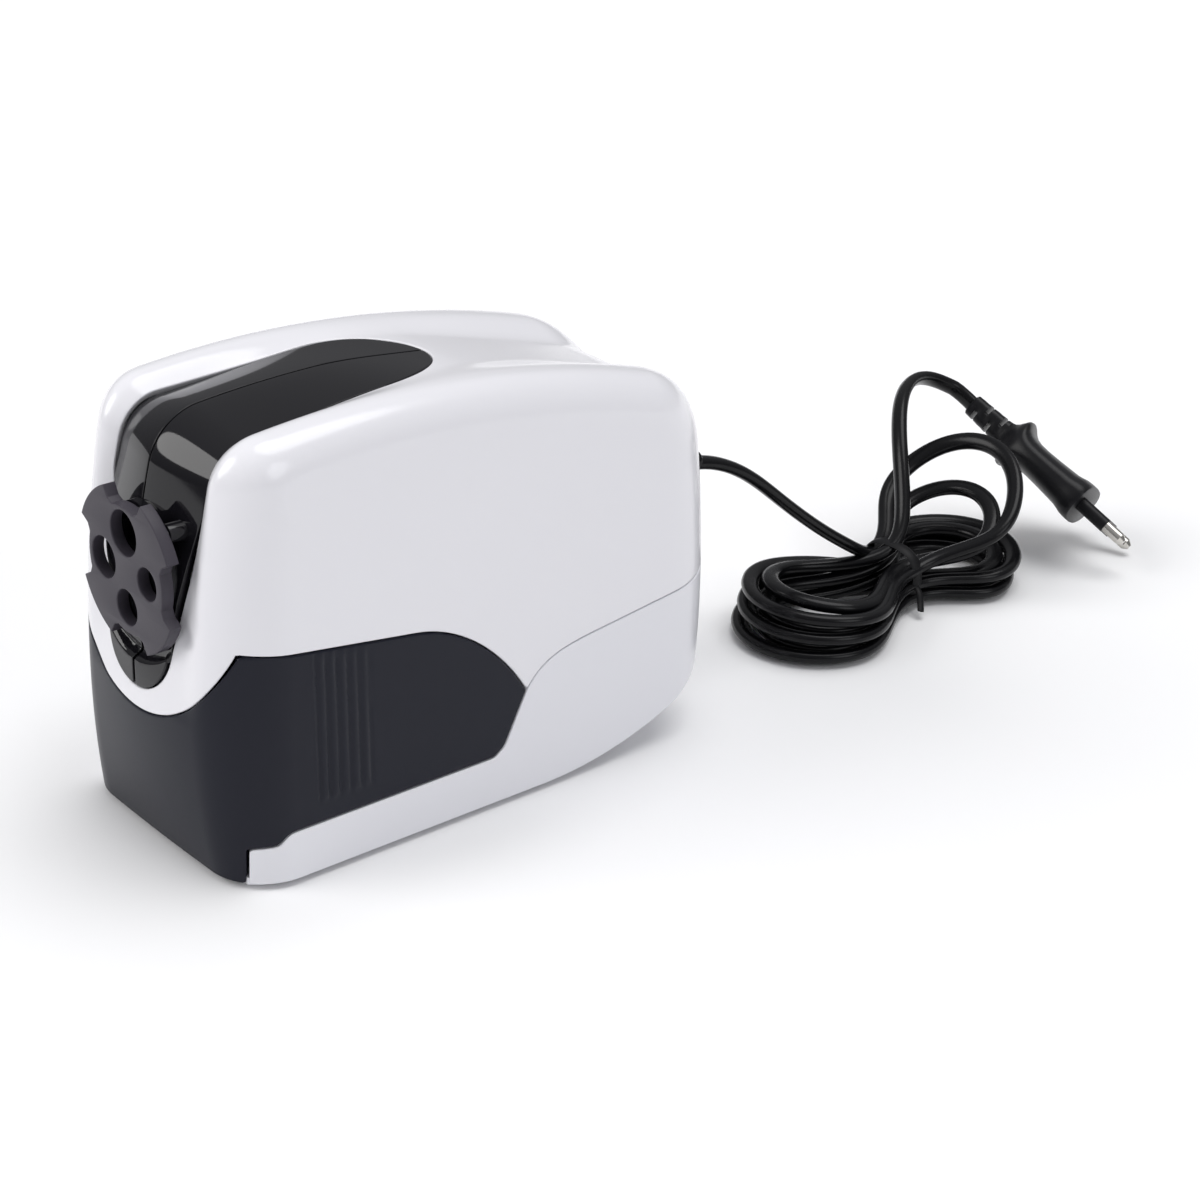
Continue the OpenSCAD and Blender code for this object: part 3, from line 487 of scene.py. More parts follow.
def tangent_u():
    """U outline of the insert on the front, with straight flanks tangent to the foot's arc."""
    c, r, top = (0.0, 60.6), 13.9, (WIN_W, 97.0)
    v = np.subtract(top, c)
    d = np.linalg.norm(v)
    a = math.atan2(v[1], v[0]) - math.acos(r / d)
    arc = [(c[0] + r * math.cos(t), c[1] + r * math.sin(t)) for t in np.linspace(-math.pi / 2, a, 14)]
    right = arc + [top, (WIN_W, FAR)]
    return [(-x, z) for x, z in right[:0:-1]] + right


U_POLY = tangent_u()
leaf = [(17.8 * math.cos(t), -22 + 27 * math.sin(t)) for t in np.linspace(0, math.pi, 40)]
LEAF_POLY = [(WIN_W, -FAR), (WIN_W, -78), (19.9, -66), (18.9, -48), (18.1, -34)] + leaf + \
            [(-18.1, -34), (-18.9, -48), (-19.9, -66), (-WIN_W, -78), (-WIN_W, -FAR)]


def window_sd(p):
    """Positive inside the window that the black strip fills."""
    x, y, z = p[..., 0], p[..., 1], p[..., 2]
    front = outline_sd(x, z, U_POLY)
    roof = outline_sd(x, y, LEAF_POLY)
    blend = ease((z - 100) / 8)
    sd = front * (1 - blend) + roof * blend
    return np.where((y > 20) | (z < 40), -20.0, sd)


KEEL_Y, KEEL_R = 15, 115.0  # where the underside starts to rise, and the radius it rises with


def under(y):
    """Height of the underside."""
    k = np.maximum(0, y - KEEL_Y)
    return FOOT + KEEL_R - np.sqrt(np.maximum(0, KEEL_R ** 2 - k ** 2))


def bow_sd(p):
    """Positive within the bow, the upper shell's round lower edge at the front."""
    sd = BOW_R - np.hypot(p[..., 0], p[..., 2] - BOW_Z)
    return np.where(p[..., 1] < -50, sd, -20.0)


def upper_sd(p):
    side = outline_sd(p[..., 1], p[..., 2], UPPER_POLY)
    return np.minimum(np.maximum(side, bow_sd(p)), -window_sd(p))


def drawer_sd(p):
    side = outline_sd(p[..., 1], p[..., 2], DRAWER_POLY)
    return np.minimum(np.minimum(side, -bow_sd(p)), p[..., 2] - FOOT - 0.2)


def lower_sd(p):
    side = outline_sd(p[..., 1], p[..., 2], LOWER_POLY)
    return np.minimum(side, p[..., 2] - under(p[..., 1]) - 0.2)


# ------------------------------------------------------------ trimmed sheet
def trimmed(point, normal, sd, s_line, b_line, level, displace=None):
    """Part of a surface where sd > level: points, normals and faces.

    The cut follows the outline exactly: every crossing is found on the surface itself."""
    S, B = np.meshgrid(s_line, b_line, indexing="ij")
    P = point(S, B)
    F = sd(P) - level
    ni, nj = S.shape
    ids = -np.ones(S.shape, int)
    keep = F > 0
    ids[keep] = np.arange(keep.sum())
    vs = [S[keep]]
    vb = [B[keep]]
    count = int(keep.sum())
    cuts = {}

    def crossing(a, b):
        return (a, b) if a < b else (b, a)

    pairs = []
    for (di, dj) in ((1, 0), (0, 1)):
        a = F[: ni - di, : nj - dj]
        b = F[di:, dj:]
        ii, jj = np.nonzero((a > 0) != (b > 0))
        for i, j in zip(ii, jj):
            pairs.append(((int(i), int(j)), (int(i) + di, int(j) + dj)))
    if pairs:
        a_idx = np.array([p[0] for p in pairs])
        b_idx = np.array([p[1] for p in pairs])
        sa, ba = S[a_idx[:, 0], a_idx[:, 1]], B[a_idx[:, 0], a_idx[:, 1]]
        sb, bb = S[b_idx[:, 0], b_idx[:, 1]], B[b_idx[:, 0], b_idx[:, 1]]
        fa = F[a_idx[:, 0], a_idx[:, 1]]
        lo, hi = np.zeros(len(pairs)), np.ones(len(pairs))
        for _ in range(26):
            t = (lo + hi) / 2
            f = sd(point(sa + (sb - sa) * t, ba + (bb - ba) * t)) - level
            same = (f > 0) == (fa > 0)
            lo = np.where(same, t, lo)
            hi = np.where(same, hi, t)
        t = (lo + hi) / 2
        vs.append(sa + (sb - sa) * t)
        vb.append(ba + (bb - ba) * t)
        for k, p in enumerate(pairs):
            cuts[crossing(*p)] = count + k
        count += len(pairs)
    faces = []
    full = keep[:-1, :-1] & keep[1:, :-1] & keep[:-1, 1:] & keep[1:, 1:]
    for i, j in zip(*np.nonzero(full)):
        faces.append((ids[i, j], ids[i + 1, j], ids[i + 1, j + 1], ids[i, j + 1]))
    some = (keep[:-1, :-1] | keep[1:, :-1] | keep[:-1, 1:] | keep[1:, 1:]) & ~full
    for i, j in zip(*np.nonzero(some)):
        i, j = int(i), int(j)
        ring = [(i, j), (i + 1, j), (i + 1, j + 1), (i, j + 1)]
        f = []
        for k in range(4):
            a, b = ring[k], ring[(k + 1) % 4]
            if keep[a]:
                f.append(ids[a])
            if keep[a] != keep[b]:
                f.append(cuts[crossing(a, b)])
        if len(f) > 2:
            faces.append(tuple(f))
    sv, bv = np.concatenate(vs), np.concatenate(vb)
    top = point(sv, bv)
    nrm = normal(sv, bv)
    if displace is not None:
        top = top + nrm * displace(top)[:, None]
    # merge points that fall together before the edge is found
    key = {}
    remap = np.arange(count)
    for k, q in enumerate(np.round(top, 4)):
        remap[k] = key.setdefault(tuple(q), k)
    faces = [tuple(remap[i] for i in f) for f in faces]
    clean = []
    for f in faces:
        g = [f[k] for k in range(len(f)) if f[k] != f[k - 1]]
        if len(set(g)) == len(g) and len(g) > 2:
            clean.append(tuple(int(i) for i in g))
    return top, nrm, clean


ROLL_STEPS = 4


def shell_from(top, nrm, faces, radius, depth, mirror=True):
    """Mirrors a half sheet, rolls its free edge inwards and closes it with a back sheet."""
    used = sorted({i for f in faces for i in f})
    index = {v: k for k, v in enumerate(used)}
    pts = top[used]
    nn = nrm[used]
    faces = [tuple(index[i] for i in f) for f in faces]
    # every face has the grid's winding, so one test settles which way is out
    score = 0.0
    for f in faces[::7]:
        a, b, c = pts[f[0]], pts[f[1]], pts[f[2]]
        score += np.cross(b - a, c - a).dot(nn[f[0]])
    if score < 0:
        faces = [f[::-1] for f in faces]
    if mirror:
        k = len(pts)
        on_axis = np.abs(pts[:, 0]) < 1e-4
        mp = pts * np.array([-1, 1, 1])
        mn = nn * np.array([-1, 1, 1])
        other = np.where(on_axis, np.arange(k), np.arange(k) + k)
        pts = np.concatenate([pts, mp])
        nn[on_axis, 0] = 0
        nn = np.concatenate([nn, mn])
        faces = faces + [tuple(int(other[i]) for i in f[::-1]) for f in faces]
    nn = nn / np.linalg.norm(nn, axis=1)[:, None]
    edges = {}
    for f in faces:
        for k in range(len(f)):
            a, b = f[k], f[(k + 1) % len(f)]
            if (b, a) in edges:
                del edges[(b, a)]
            else:
                edges[(a, b)] = True
    nxt, prv = {}, {}
    for a, b in edges:
        nxt[a] = b
        prv[b] = a
    rim = sorted(nxt)
    n0 = len(pts)
    allv = [pts]
    allf = list(faces)
    ring_ids = [{v: v for v in rim}]
    out = {}
    for v in rim:
        a = pts[prv.get(v, v)]
        b = pts[nxt[v]]
        t = b - a
        o = np.cross(t, nn[v])
        ln = np.linalg.norm(o)
        out[v] = o / ln if ln > 1e-9 else np.zeros(3)
    # even out the outward directions along the rim
    for _ in range(2):
        out = {v: (out[v] * 2 + out.get(prv.get(v, v), out[v]) + out.get(nxt[v], out[v])) for v in rim}
        out = {v: o / max(1e-9, np.linalg.norm(o)) for v, o in out.items()}
    total = n0
    for k in range(1, ROLL_STEPS + 1):
        th = math.pi / 2 * k / ROLL_STEPS
        new = np.array([pts[v] + out[v] * radius * math.sin(th) - nn[v] * radius * (1 - math.cos(th))
                        for v in rim])
        allv.append(new)
        ring_ids.append({v: total + q for q, v in enumerate(rim)})
        total += len(rim)
    new = np.array([pts[v] + out[v] * radius - nn[v] * depth for v in rim])
    allv.append(new)
    ring_ids.append({v: total + q for q, v in enumerate(rim)})
    total += len(rim)
    for lo, hi in zip(ring_ids[:-1], ring_ids[1:]):
        for a, b in edges:
            allf.append((lo[b], lo[a], hi[a], hi[b]))
    back = pts - nn * depth
    allv.append(back)
    last = ring_ids[-1]
    for f in faces:
        allf.append(tuple(i + total for i in f[::-1]))
    for a, b in edges:
        allf.append((last[b], last[a], a + total, b + total))
    return np.concatenate(allv), allf


S_STEP = 1.0
S_LINE = np.linspace(0, S_END, int(S_END / S_STEP) + 1)
B_LINE = np.concatenate([np.linspace(0, 1, 25), 1 + np.linspace(0, 1, 19)[1:], 2 + np.linspace(0, 1, 64)[1:]])
GAP, EDGE, WALL = 0.34, 0.42, 2.2  # gap between mouldings, radius of their edges, wall thickness


def skin_part(name, sd, slot_name, body, node, displace=None):
    """One moulding of the housing: the skin where sd is positive."""
    sheet = trimmed(skin, skin_normal, sd, S_LINE, B_LINE, GAP / 2 + EDGE, displace=displace)
    v, f = shell_from(*sheet, EDGE, WALL)
    ob = make_object(name, v, f, slot_name, body, smooth=50)
    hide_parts(node)


def rib_height(p):
    """Five upright grip ribs on each side of the drawer, with a shallow groove between them."""
    y, z = p[:, 1], p[:, 2]
    mid, pitch, half_rib = -48.7, 3.2, 1.25
    w = np.zeros(len(p))
    for k in range(-2, 3):
        c = mid + pitch * k
        w = np.maximum(w, 1 - np.clip(np.abs(y - c) / half_rib, 0, 1) ** 4)
    top = 58.6 - 0.14 * (y + 26) - 1.4
    ends = ease((z - 20.5) / 1.6) * (1 - ease((z - top) / 1.0))
    on = ease((np.abs(p[:, 0]) - 36.5) / 1.0) * ((y > -57) & (y < -40.2))
    groove = 1 - ease((np.abs(y - mid) - 8.2) / 0.6)
    return (w * 0.55 - 0.25 * groove) * ends * on


skin_part("upper_shell", upper_sd, "white_shell", "housing", "upper_housing")
skin_part("lower_shell", lower_sd, "base_shell", "housing", "lower_housing")
skin_part("drawer_shell", drawer_sd, "drawer_navy", "drawer", "shavings_drawer", displace=rib_height)


# ------------------------------------------------------- insert, roof shaped
def insert_point(s, x):
    """Point of the black strip at profile length s and width x, with the dial's level seat cut in."""
    s, x = np.broadcast_arrays(np.asarray(s, float), np.asarray(x, float))
    y, z, ny, nz = profile(s)
    w = np.where(z < 75, 20 - 6 * np.clip((75 - z) / 25, 0, 1), 20 - 3 * np.clip((y + 60) / 60, 0, 1))
    drop = 0.15 + 1.2 * ease((y + 30) / 35)
    deep = np.maximum(drop, hollow_depth(y, z, ny, nz) * 0.93 + 0.15)
    d = drop + (deep - drop) * np.power(np.minimum(1.2, np.abs(x) / w), 1.35)
    py, pz = y - d * ny, z - d * nz
    # level seat behind the dial
    rr = np.hypot(x, pz - DIAL_Z)
    seat = ease((24.8 - rr) / 2.2)
    py = np.where(seat > 0, py + seat * (np.maximum(py, SEAT_Y) - py), py)
    return np.stack([x, py, pz], -1)


def insert_normal(s, x):
    ds = insert_point(s + 0.05, x) - insert_point(s - 0.05, x)
    db = insert_point(s, x + 0.02) - insert_point(s, x - 0.02)
    n = np.cross(ds, db)
    n /= np.maximum(np.linalg.norm(n, axis=-1, keepdims=True), 1e-12)
    _, _, ny, nz = profile(s)
    want = np.stack([np.zeros_like(ny), ny, nz], -1)
    return np.where((n * want).sum(-1, keepdims=True) < 0, -n, n)


def insert_sd(p):
    x, y, z = p[..., 0], p[..., 1], p[..., 2]
    slit = np.where(z < DIAL_Z, 0.32, 0.10)  # half the gap at the centre line
    hole = np.hypot(x, z - DIAL_Z - HOLE_PITCH) - 6.2
    hole = np.where(y < -70, hole, 20.0)
    return np.minimum(np.minimum(window_sd(p), x - slit), hole)


STRIP_S = np.concatenate([np.arange(40, 118, 0.5), np.arange(118, 240, 1.0)])
STRIP_X = np.linspace(0, 22, 45)
BALL_AT = 19.5 / math.sqrt(2)  # the ball lies on a diagonal, 19.5 mm from the dial's axis


def front_tube(r_in, r_out, y0, y1, x, z, sides):
    """Plain tube along Y."""
    return revolve([(r_in, y0), (r_out, y0), (r_out, y1), (r_in, y1)], (x, 0, z), (0, 1, 0), sides, close=True)


def front_strip():
    """Black strip in two halves, with the pencil's bore and the ball's column behind the dial."""
    sheet = trimmed(insert_point, insert_normal, insert_sd, STRIP_S, STRIP_X, 0.20 + 0.16)
    half_v, half_f = shell_from(*sheet, 0.18, WALL, mirror=False)
    other = (half_v * np.array([-1, 1, 1]), [f[::-1] for f in half_f])
    bore_liner = front_tube(BORE_R, 7.6, SEAT_Y, GUIDE_Y - 0.2, 0, DIAL_Z + HOLE_PITCH, 48)
    ball_column = front_tube(1.6, 2.6, SEAT_Y, GUIDE_Y - 0.1, BALL_AT, DIAL_Z + BALL_AT, 32)
    v, f = join_parts([(half_v, half_f), other, bore_liner, ball_column])
    insert = make_object("front_strip", v, f, "black_gloss", "housing", smooth=40)
    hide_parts("front_insert")


front_strip()


# --------------------------------------------------------------------- dial
def on_circle(r, a, c=(0, 0)):
    return c[0] + r * math.cos(math.radians(a)), c[1] + r * math.sin(math.radians(a))


def arc_pts(r, a0, a1, n, c=(0, 0)):
    return [on_circle(r, a, c) for a in np.linspace(a0, a1, n)]


def hole_pts(r, c=(0, 0)):
    return arc_pts(r, 360, 7.5, 48, c)


def curve_plate(name, outlines, y_front, y_back, bevel, slot_name, body):
    """Flat plate on the dial's axis from closed outlines in X and Z, with rounded edges."""
    cu = bpy.data.curves.new(name, "CURVE")
    cu.dimensions = "2D"
    cu.fill_mode = "BOTH"
    for pts in outlines:
        sp = cu.splines.new("POLY")
        sp.points.add(len(pts) - 1)
        for k, (x, z) in enumerate(pts):
            sp.points[k].co = (x * MM, z * MM, 0, 1)
        sp.use_cyclic_u = True
    cu.extrude = ((y_back - y_front) / 2 - bevel) * MM
    cu.bevel_depth = bevel * MM
    cu.bevel_resolution = 3
    cu.offset = -bevel * MM
    tmp = bpy.data.objects.new(name + "_curve", cu)
    scene.collection.objects.link(tmp)
    bpy.context.view_layer.update()
    me = bpy.data.meshes.new_from_object(tmp.evaluated_get(bpy.context.evaluated_depsgraph_get()))
    bpy.data.objects.remove(tmp)
    me.transform(Matrix.Translation((0, (y_front + y_back) / 2 * MM, DIAL_Z * MM))
                 @ Matrix.Rotation(math.pi / 2, 4, "X"))
    bm = bmesh.new()
    bm.from_mesh(me)
    bmesh.ops.remove_doubles(bm, verts=bm.verts, dist=1e-6)
    bmesh.ops.recalc_face_normals(bm, faces=bm.faces)
    bm.to_mesh(me)
    bm.free()
    me.name = name
    me.materials.clear()
    me.materials.append(MAT[slot_name])
    me.shade_smooth()
    me.set_sharp_from_angle(angle=math.radians(35))
    return add_piece(name, me, body)


def dial_outline():
    """Round dial with four gripping tabs, each with a chamfered flank on either side."""
    rim_r, flank_r, tab_r = 17.2, 18.6, 21.9
    rim_a, flank_a, tab_a = 24.5, 23.6, 22.2
    pts = []
    for k in range(4):
        mid = 45 + 90 * k
        pts += arc_pts(rim_r, mid - 45, mid - rim_a, 6)[:-1] + [on_circle(flank_r, mid - flank_a)]
        pts += arc_pts(tab_r, mid - tab_a, mid + tab_a, 15) + [on_circle(flank_r, mid + flank_a)]
        pts += arc_pts(rim_r, mid + rim_a, mid + 45, 6)[1:-1]
    return pts


PENCILS = ((90, 12), (180, 11), (270, 9.5), (0, 8.7))  # each hole's angle and diameter
holes = [hole_pts(size / 2, on_circle(HOLE_PITCH, angle)) for angle, size in PENCILS]
dial = curve_plate("dial_plate", [dial_outline()] + holes, DIAL_Y, TAB_BACK, 0.35, "dial_grey", "dial")
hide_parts("selector_dial")
seat_holes = [hole_pts(BORE_R, (0, HOLE_PITCH)), hole_pts(3.2)]
curve_plate("dial_seat", [arc_pts(15.5, 0, 355, 72)] + seat_holes, SEAT_Y - 0.05, BOSS_BACK, 0.2,
            "black_gloss", "housing")
HUB_R, HUB_FRONT, HUB_END = 3.0, TAB_BACK - 0.1, GUIDE_Y - 0.5
hub_profile = [(HUB_R, HUB_FRONT), (HUB_R, HUB_END), (0.5, HUB_END), (0.5, HUB_FRONT)]
make_object("dial_hub", *revolve(hub_profile, (0, 0, DIAL_Z), (0, 1, 0), 40, close=True), "dial_grey", "dial",
            smooth=40)


# ------------------------------------------------- underside and drawer tray
def width_at(y):
    """Half width of the base outline at y."""
    r = np.where(y < 0, R_FRONT, R_REAR)
    end = np.where(y < 0, -FRONT_Y - 5.0, REAR_Y - 4.0)
    over = np.clip(np.abs(y) - (end - r), 0, r - 0.1)
    return HALF_W - 1.3 - (r - np.sqrt(r * r - over * over))


def base_plate():
    """Plate under the housing, 2 mm thick, from a grid whose rows are as wide as the base."""
    rows = np.concatenate([np.linspace(-75.8, 60, 46), np.linspace(62, 78.6, 18)])
    across = np.linspace(-1, 1, 21)
    vs, fs = [], []
    for lift in (0.15, 2.15):
        for y in rows:
            vs += [(k * float(width_at(y)), y, float(under(y)) + lift) for k in across]
    n, m = len(rows), len(across)
    top = n * m  # where the upper sheet's points start
    for i in range(n - 1):
        for j in range(m - 1):
            a = i * m + j
            fs.append((a, a + 1, a + m + 1, a + m))
            fs.append((a + top, a + m + top, a + m + 1 + top, a + 1 + top))
    rim = [i * m for i in range(n)] + [(n - 1) * m + j for j in range(1, m)]
    rim += [i * m + m - 1 for i in range(n - 2, -1, -1)] + list(range(m - 2, 0, -1))
    for a, b in zip(rim, rim[1:] + rim[:1]):
        fs.append((a, b, b + top, a + top))
    make_object("base_plate", vs, fs, "base_shell", "housing", smooth=40)


base_plate()


def box_mesh(x0, x1, y0, y1, z0, z1):
    v = [(x, y, z) for x in (x0, x1) for y in (y0, y1) for z in (z0, z1)]
    f = [(0, 1, 3, 2), (4, 6, 7, 5), (0, 4, 5, 1), (2, 3, 7, 6), (0, 2, 6, 4), (1, 5, 7, 3)]
    return v, f


def tray():
    """Open bin of the drawer: rounded floor corners and a back wall that dips under the bow."""
    w, y0, y1, z0, z1, t = 33.0, -75.8, -30.0, 15.4, 51.0, 1.7
    vs, fs = [], []

    def ring(xw, y, zf, zt, r):
        """Bin's section at y, from the top of one side over the floor to the other."""
        pts = [(-xw, zt)]
        pts += [(-xw + r - r * math.cos(a), zf + r - r * math.sin(a)) for a in np.linspace(0, math.pi / 2, 7)]
        pts += [(xw - r + r * math.cos(a), zf + r - r * math.sin(a)) for a in np.linspace(math.pi / 2, 0, 7)]
        pts += [(xw, zt)]
        return [(x, y, z) for x, z in pts]

    outer = [ring(w, y, z0, z1, 3.0) for y in (y0, y1)]
    inner = [ring(w - t, y, z0 + t, z1, 2.0) for y in (y0, y1 - t)]
    k = len(outer[0])
    for section in outer + inner:
        vs += section
    for q in range(k - 1):
        fs.append((q, q + 1, k + q + 1, k + q))
        fs.append((2 * k + q, 3 * k + q, 3 * k + q + 1, 2 * k + q + 1))
    for q in (0, k - 1):
        fs.append((q, k + q, 3 * k + q, 2 * k + q))

    def wall(ya, yb):
        """End wall whose top edge dips under the bow."""
        top = []
        for x in np.linspace(w - 0.05, -w + 0.05, 25):
            lim = BOW_Z - math.sqrt(max(0.0, (BOW_R + 0.5) ** 2 - x * x))
            top.append((x, min(z1, lim)))
        bottom = [(x, z) for x, _, z in ring(w - 0.05, 0, z0 + 0.05, z1 - 1, 3.0)[1:-1]]
        loop = bottom + top
        b0 = len(vs)
        for y in (ya, yb):
            vs.extend([(x, y, z) for x, z in loop])
        m = len(loop)
        fs.append(tuple(b0 + q for q in range(m)))
        fs.append(tuple(b0 + m + q for q in reversed(range(m))))
        for q in range(m):
            fs.append((b0 + q, b0 + m + q, b0 + m + (q + 1) % m, b0 + (q + 1) % m))

    wall(y1 - t, y1)
    wall(y0, y0 + t)
    for x in (-1, 1):
        for y in (-60.0, -34.0):
            xa, xb = sorted((x * (w - 0.2), x * 37.6))  # web from the bin to the drawer's side
            v, f = box_mesh(xa, xb, y, y + 2.4, 24, 44)
            b0 = len(vs)
            vs.extend(v)
            fs.extend([tuple(i + b0 for i in q) for q in f])
    return vs, fs


make_object("drawer_bin", *tray(), "drawer_navy", "drawer", smooth=40)


# ----------------------------------------------------------- lead and plug
CORD_WIDE, CORD_THICK = 5.5, 3.9
RELIEF_END = 104.0
TIE = (12.5, 177.0)
HANK_DIR = math.radians(4.0)
LEAD_OUT = [(0, 86.4, LEAD_Z), (0, 95, LEAD_Z), (0, RELIEF_END, 60.7), (1.1, 112.2, 58.4), (2.6, 123.2, 51.9),
            (4.2, 134.8, 41.4), (5.6, 146.6, 31.5), (6.6, 156.5, 24.0), (7.0, 166.0, 18.0)]


def hank_point(x, y, z):
    """Place in the hank: y along it from the tie, x across."""
    c, s = math.cos(HANK_DIR), math.sin(HANK_DIR)
    return (TIE[0] + x * c - y * s, TIE[1] + x * s + y * c, z)


def lobe(side, reach, r, low, lift, shift, x_sign):
    """Half turn round one end of the hank: side is 1 for the far end and -1 for the near one."""
    out = []
    for a in range(0, 181, 30):
        c, s = math.cos(math.radians(a)), math.sin(math.radians(a))
        out.append((x_sign * r * c + shift * s, side * (reach + r * 1.08 * s), low + lift * (0.35 + 0.65 * s)))
    return out


def hank_turns():
    """Six turns, each through the tie to the far lobe, back, and round the near lobe.

    Each turn has a layer, 0 to 2 from the floor up, and a nest, 0 for the inner lobes and 1 for the outer."""
    pts = []
    order = [(2, 1), (1, 1), (0, 1), (0, 0), (1, 0), (2, 0)]
    for k, (layer, nest) in enumerate(order):
        sway = 1.6 * math.sin(2.3 * k + 0.4)
        tie_x, tie_z = 2.3 + 4.6 * nest, 3.0 + 4.1 * layer
        r = 18.6 + 5.0 * nest
        if layer == 2:
            far, far_shift = 20.0 + 3.0 * nest, -4.0 * nest
            far_low, far_lift = 11.0 + 2.0 * nest, 15.0 + 11.0 * nest
        else:
            far, far_shift = 22.0 + 1.5 * layer, -1.0
            far_low, far_lift = 2.6 + 4.4 * layer, 2.0 * layer
        near, near_low, near_lift = 33.0 - 1.5 * layer + 1.5 * nest, 2.6 + 4.5 * layer, 1.5 * layer
        if k == len(order) - 1:
            near, near_lift = 30.0, 5.0
        far_neck = (0.5 * r, 12.0, tie_z + 0.45 * (far_low + 0.35 * far_lift - tie_z))
        near_neck = (0.5 * r, -14.0, tie_z + 0.45 * (near_low + 0.35 * near_lift - tie_z))
        pts += [(-tie_x, 0, tie_z), (-far_neck[0], far_neck[1], far_neck[2])]
        pts += lobe(1, far, r, far_low, far_lift, far_shift + sway, -1)
        pts += [far_neck, (tie_x, 0, tie_z), near_neck]
        pts += lobe(-1, near, r, near_low, near_lift, 0.5 * sway + 1.5, 1)
        pts += [(-near_neck[0], near_neck[1], near_neck[2])]
    return [hank_point(*p) for p in pts]


def unit(v):
    return v / np.linalg.norm(v)


# the plug's frame: along its pins, across its width and through its thickness
PLUG_FROM = np.array([-17.0, 242.0, 40.0])
PLUG_AXIS = unit(np.array([58.0, 14.0, -33.0]))
PLUG_WIDE = np.array([-0.585, 0.716, -0.381])
PLUG_WIDE = unit(PLUG_WIDE - PLUG_AXIS * PLUG_WIDE.dot(PLUG_AXIS))
PLUG_THICK = np.cross(PLUG_AXIS, PLUG_WIDE)
LEAD_IN = [hank_point(1.0, 0.0, 16.0), (9.0, 184.5, 22.5), (1.5, 190.5, 33.0), (-7.0, 197.0, 42.0),
           (-15.5, 205.0, 48.5), (-22.5, 214.5, 51.3), (-27.0, 224.5, 51.0), (-27.5, 233.5, 48.5),
           tuple(PLUG_FROM - PLUG_AXIS * 7 - PLUG_WIDE * 1.2), tuple(PLUG_FROM + PLUG_AXIS * 1.5)]


def lead_path():
    """Even, softened line of the lead from the housing to the plug; its two ends stay as they are."""
    path = smooth_path(LEAD_OUT + hank_turns() + LEAD_IN, 2.0)
    for _ in range(26):
        inner = 0.25 * path[:-2] + 0.5 * path[1:-1] + 0.25 * path[2:]
        path = np.concatenate([path[:6], inner[5:-5], path[-6:]])
    path[:, 2] = np.maximum(path[:, 2], 2.3)
    return path


cord_path = lead_path()
cord_mesh = sweep(cord_path, CORD_WIDE / 2, CORD_THICK / 2, (0, 0, 1), sides=14, power=2.3)
cord = make_object("mains_lead", *cord_mesh, "cord_black", "housing", smooth=60)


def plug_place(w, t, a):
    return tuple(PLUG_FROM + PLUG_WIDE * w + PLUG_THICK * t + PLUG_AXIS * a)


def loft(sections, sides=44, power=2.6):
    """Rings along the plug: (along, half width, upper and lower half thickness)."""
    vs = []
    for a, hw, upper, lower in sections:
        for k in range(sides):
            q = 2 * math.pi * k / sides
            c, s = math.cos(q), math.sin(q)
            vs.append(plug_place(superpower(c, 2 / power) * hw,
                                 superpower(s, 2 / power) * (upper if s > 0 else lower), a))
    return vs, tube_faces(len(sections), sides)


# place along the plug, half width and half thickness of its body
PLUG_BODY = [
    (14.2, 5.0, 4.4), (15.4, 5.6, 4.8), (16.6, 7.0, 5.8), (17.8, 9.0, 7.4), (18.8, 10.6, 8.7),
    (19.6, 11.6, 8.9), (20.4, 12.4, 8.3), (21.6, 13.2, 7.0), (23.2, 13.9, 6.0), (25.4, 14.6, 5.5),
    (29.0, 15.3, 5.4), (34.0, 16.0, 5.6), (39.0, 16.5, 5.9), (42.4, 16.8, 6.15), (44.0, 17.1, 6.5),
    (45.6, 17.4, 6.95), (47.4, 17.6, 7.1), (48.8, 17.6, 7.1), (49.3, 17.4, 6.9), (49.5, 17.0, 6.5)]


def plug_relief():
    """Flexible end of the plug, notched from above and below in turn."""
    core = 1.2
    rings = [(0.0, 4.2, 3.2, 3.2), (0.4, 4.6, 3.7, 3.7)]
    for k, start in enumerate((2.6, 5.6, 8.6, 11.6)):
        w, t = 4.6 + 0.1 * k, 3.8 + 0.15 * k
        upper, lower = (core, t) if k % 2 else (t, core)
        rings += [(start - 0.05, w, t, t), (start, w, upper, lower), (start + 1.3, w, upper, lower),
                  (start + 1.35, w, t, t)]
    return rings + [(14.6, 5.1, 4.5, 4.5)]


body = loft([(a, w, t, t) for a, w, t in PLUG_BODY], power=2.9)
plug = make_object("plug_moulding", *join_parts([body, loft(plug_relief(), sides=36, power=3.6)]),
                   "plug_black", "housing", smooth=38)
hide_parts("plug_body")


def gland_profile():
    """Radius and place along Y of the lead's relief: a flange, then four tapering ribs."""
    pts = [(0.4, 86.3), (5.6, 86.3), (5.9, 86.9), (5.9, 87.9), (5.2, 88.3), (4.6, 88.6)]
    for k in range(4):
        y, r = 89.4 + 3.6 * k, 4.5 - 0.28 * k
        pts += [(r, y), (r - 0.05, y + 2.4), (r - 0.7, y + 2.7), (r - 0.7, y + 3.3)]
    return pts + [(2.9, 103.6), (2.6, RELIEF_END), (0.4, RELIEF_END)]


COLLAR = [(4.6, 80.0), (7.2, 80.0), (7.2, BOSS_Y - 0.5), (6.7, BOSS_Y), (4.6, BOSS_Y)]
make_object("lead_collar", *revolve(COLLAR, (0, 0, LEAD_Z), (0, 1, 0), 48, close=True),
            "white_shell", "housing", smooth=40)
gland = make_object("cord_relief", *revolve(gland_profile(), (0, 0, LEAD_Z), (0, 1, 0), 36), "cord_black",
                    "housing", smooth=38)
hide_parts("strain_relief")


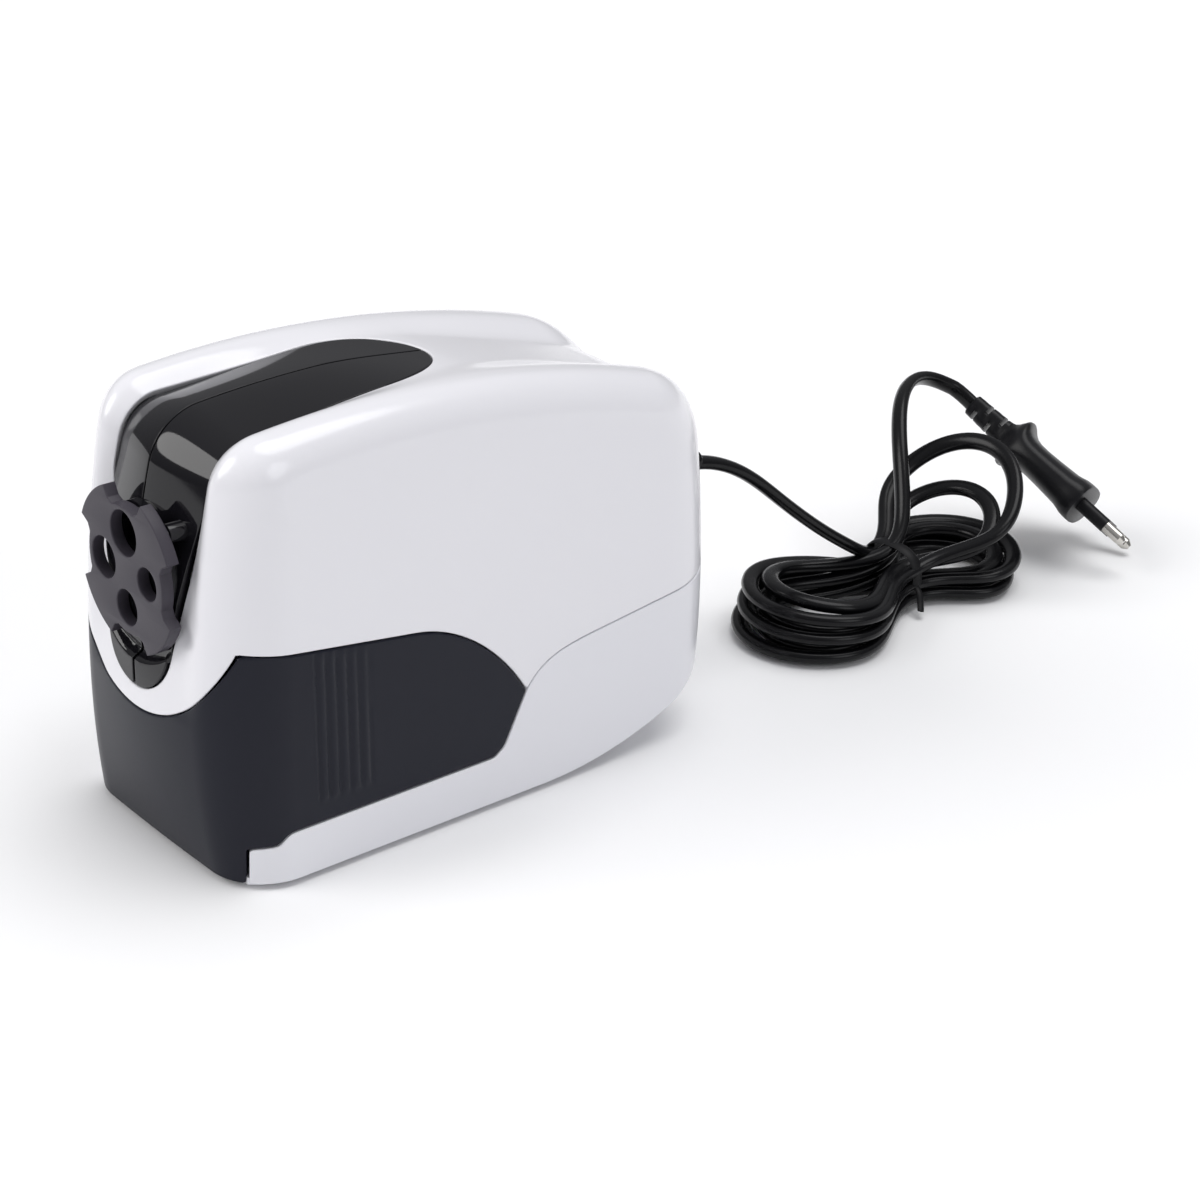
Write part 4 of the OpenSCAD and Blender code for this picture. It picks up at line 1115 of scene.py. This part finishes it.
def wire_tie():
    """Flat band drawn round the bundle, with its twisted end on the floor side."""
    half_w, half_h, mid_z = 10.6, 8.9, 9.6
    ring = []
    for k in range(48):
        t = 2 * math.pi * k / 48
        ring.append(hank_point(superpower(math.cos(t), 0.8) * half_w, 0,
                               mid_z + superpower(math.sin(t), 0.8) * half_h))
    ring.append(ring[0])
    end = [hank_point(9.6, 0, 8.0), hank_point(12.5, -1.0, 6.5), hank_point(14.5, -2.5, 4.0),
           hank_point(16.0, -4.0, 2.4)]
    band = sweep(np.array(ring), 2.0, 0.55, (1, 0, 0), sides=8)
    tail = sweep(smooth_path(end, 1.0), 1.1, 0.5, (0, 0, 1), sides=8)
    return join_parts([band, tail])


tie = make_object("wire_tie", *wire_tie(), "tie_black", "housing", smooth=60)
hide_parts("cord_tie")
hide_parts("power_cord", "cord_hank", "plug_lead")


# ------------------------------------------------------------ floor, lights
def add_floor():
    bpy.ops.mesh.primitive_plane_add(size=8.0, location=(0, 0, -0.0004))
    floor = bpy.context.object
    floor.name = "studio_floor"
    m, _, b = new_material("studio_floor")
    b.inputs["Base Color"].default_value = (0.93, 0.93, 0.935, 1)
    b.inputs["Roughness"].default_value = 0.9
    b.inputs["Specular IOR Level"].default_value = 0.1
    floor.data.materials.append(m)


def add_world():
    """Soft sky that is brighter towards the top."""
    w = bpy.data.worlds.new("studio")
    w.use_nodes = True
    n, l = w.node_tree.nodes, w.node_tree.links
    sky = n.new("ShaderNodeTexCoord")
    split = n.new("ShaderNodeSeparateXYZ")
    rise = n.new("ShaderNodeMapRange")
    rise.inputs["To Min"].default_value = 0.16
    rise.inputs["To Max"].default_value = 0.52
    l.new(sky.outputs["Generated"], split.inputs["Vector"])
    l.new(split.outputs["Z"], rise.inputs["Value"])
    l.new(rise.outputs["Result"], n["Background"].inputs["Strength"])
    n["Background"].inputs["Color"].default_value = (0.96, 0.965, 1.0, 1)
    scene.world = w


def softbox(name, at, strength, width, colour=(1, 1, 1)):
    """Distant round softbox; width is the angle it fills, in degrees."""
    d = bpy.data.lights.new(name, "SUN")
    d.energy = strength
    d.angle = math.radians(width)
    d.color = colour
    ob = bpy.data.objects.new(name, d)
    scene.collection.objects.link(ob)
    ob.rotation_euler = (-Vector(at)).to_track_quat("-Z", "Y").to_euler()


add_floor()
add_world()
scene.view_settings.view_transform = "Standard"
softbox("key", (-0.75, -1.3, 0.95), 1.35, 36, (1, 0.99, 0.98))
softbox("top", (0.1, 0.35, 1.6), 1.45, 44)
softbox("side", (1.5, 0.1, 0.8), 0.45, 30, (0.97, 0.98, 1))
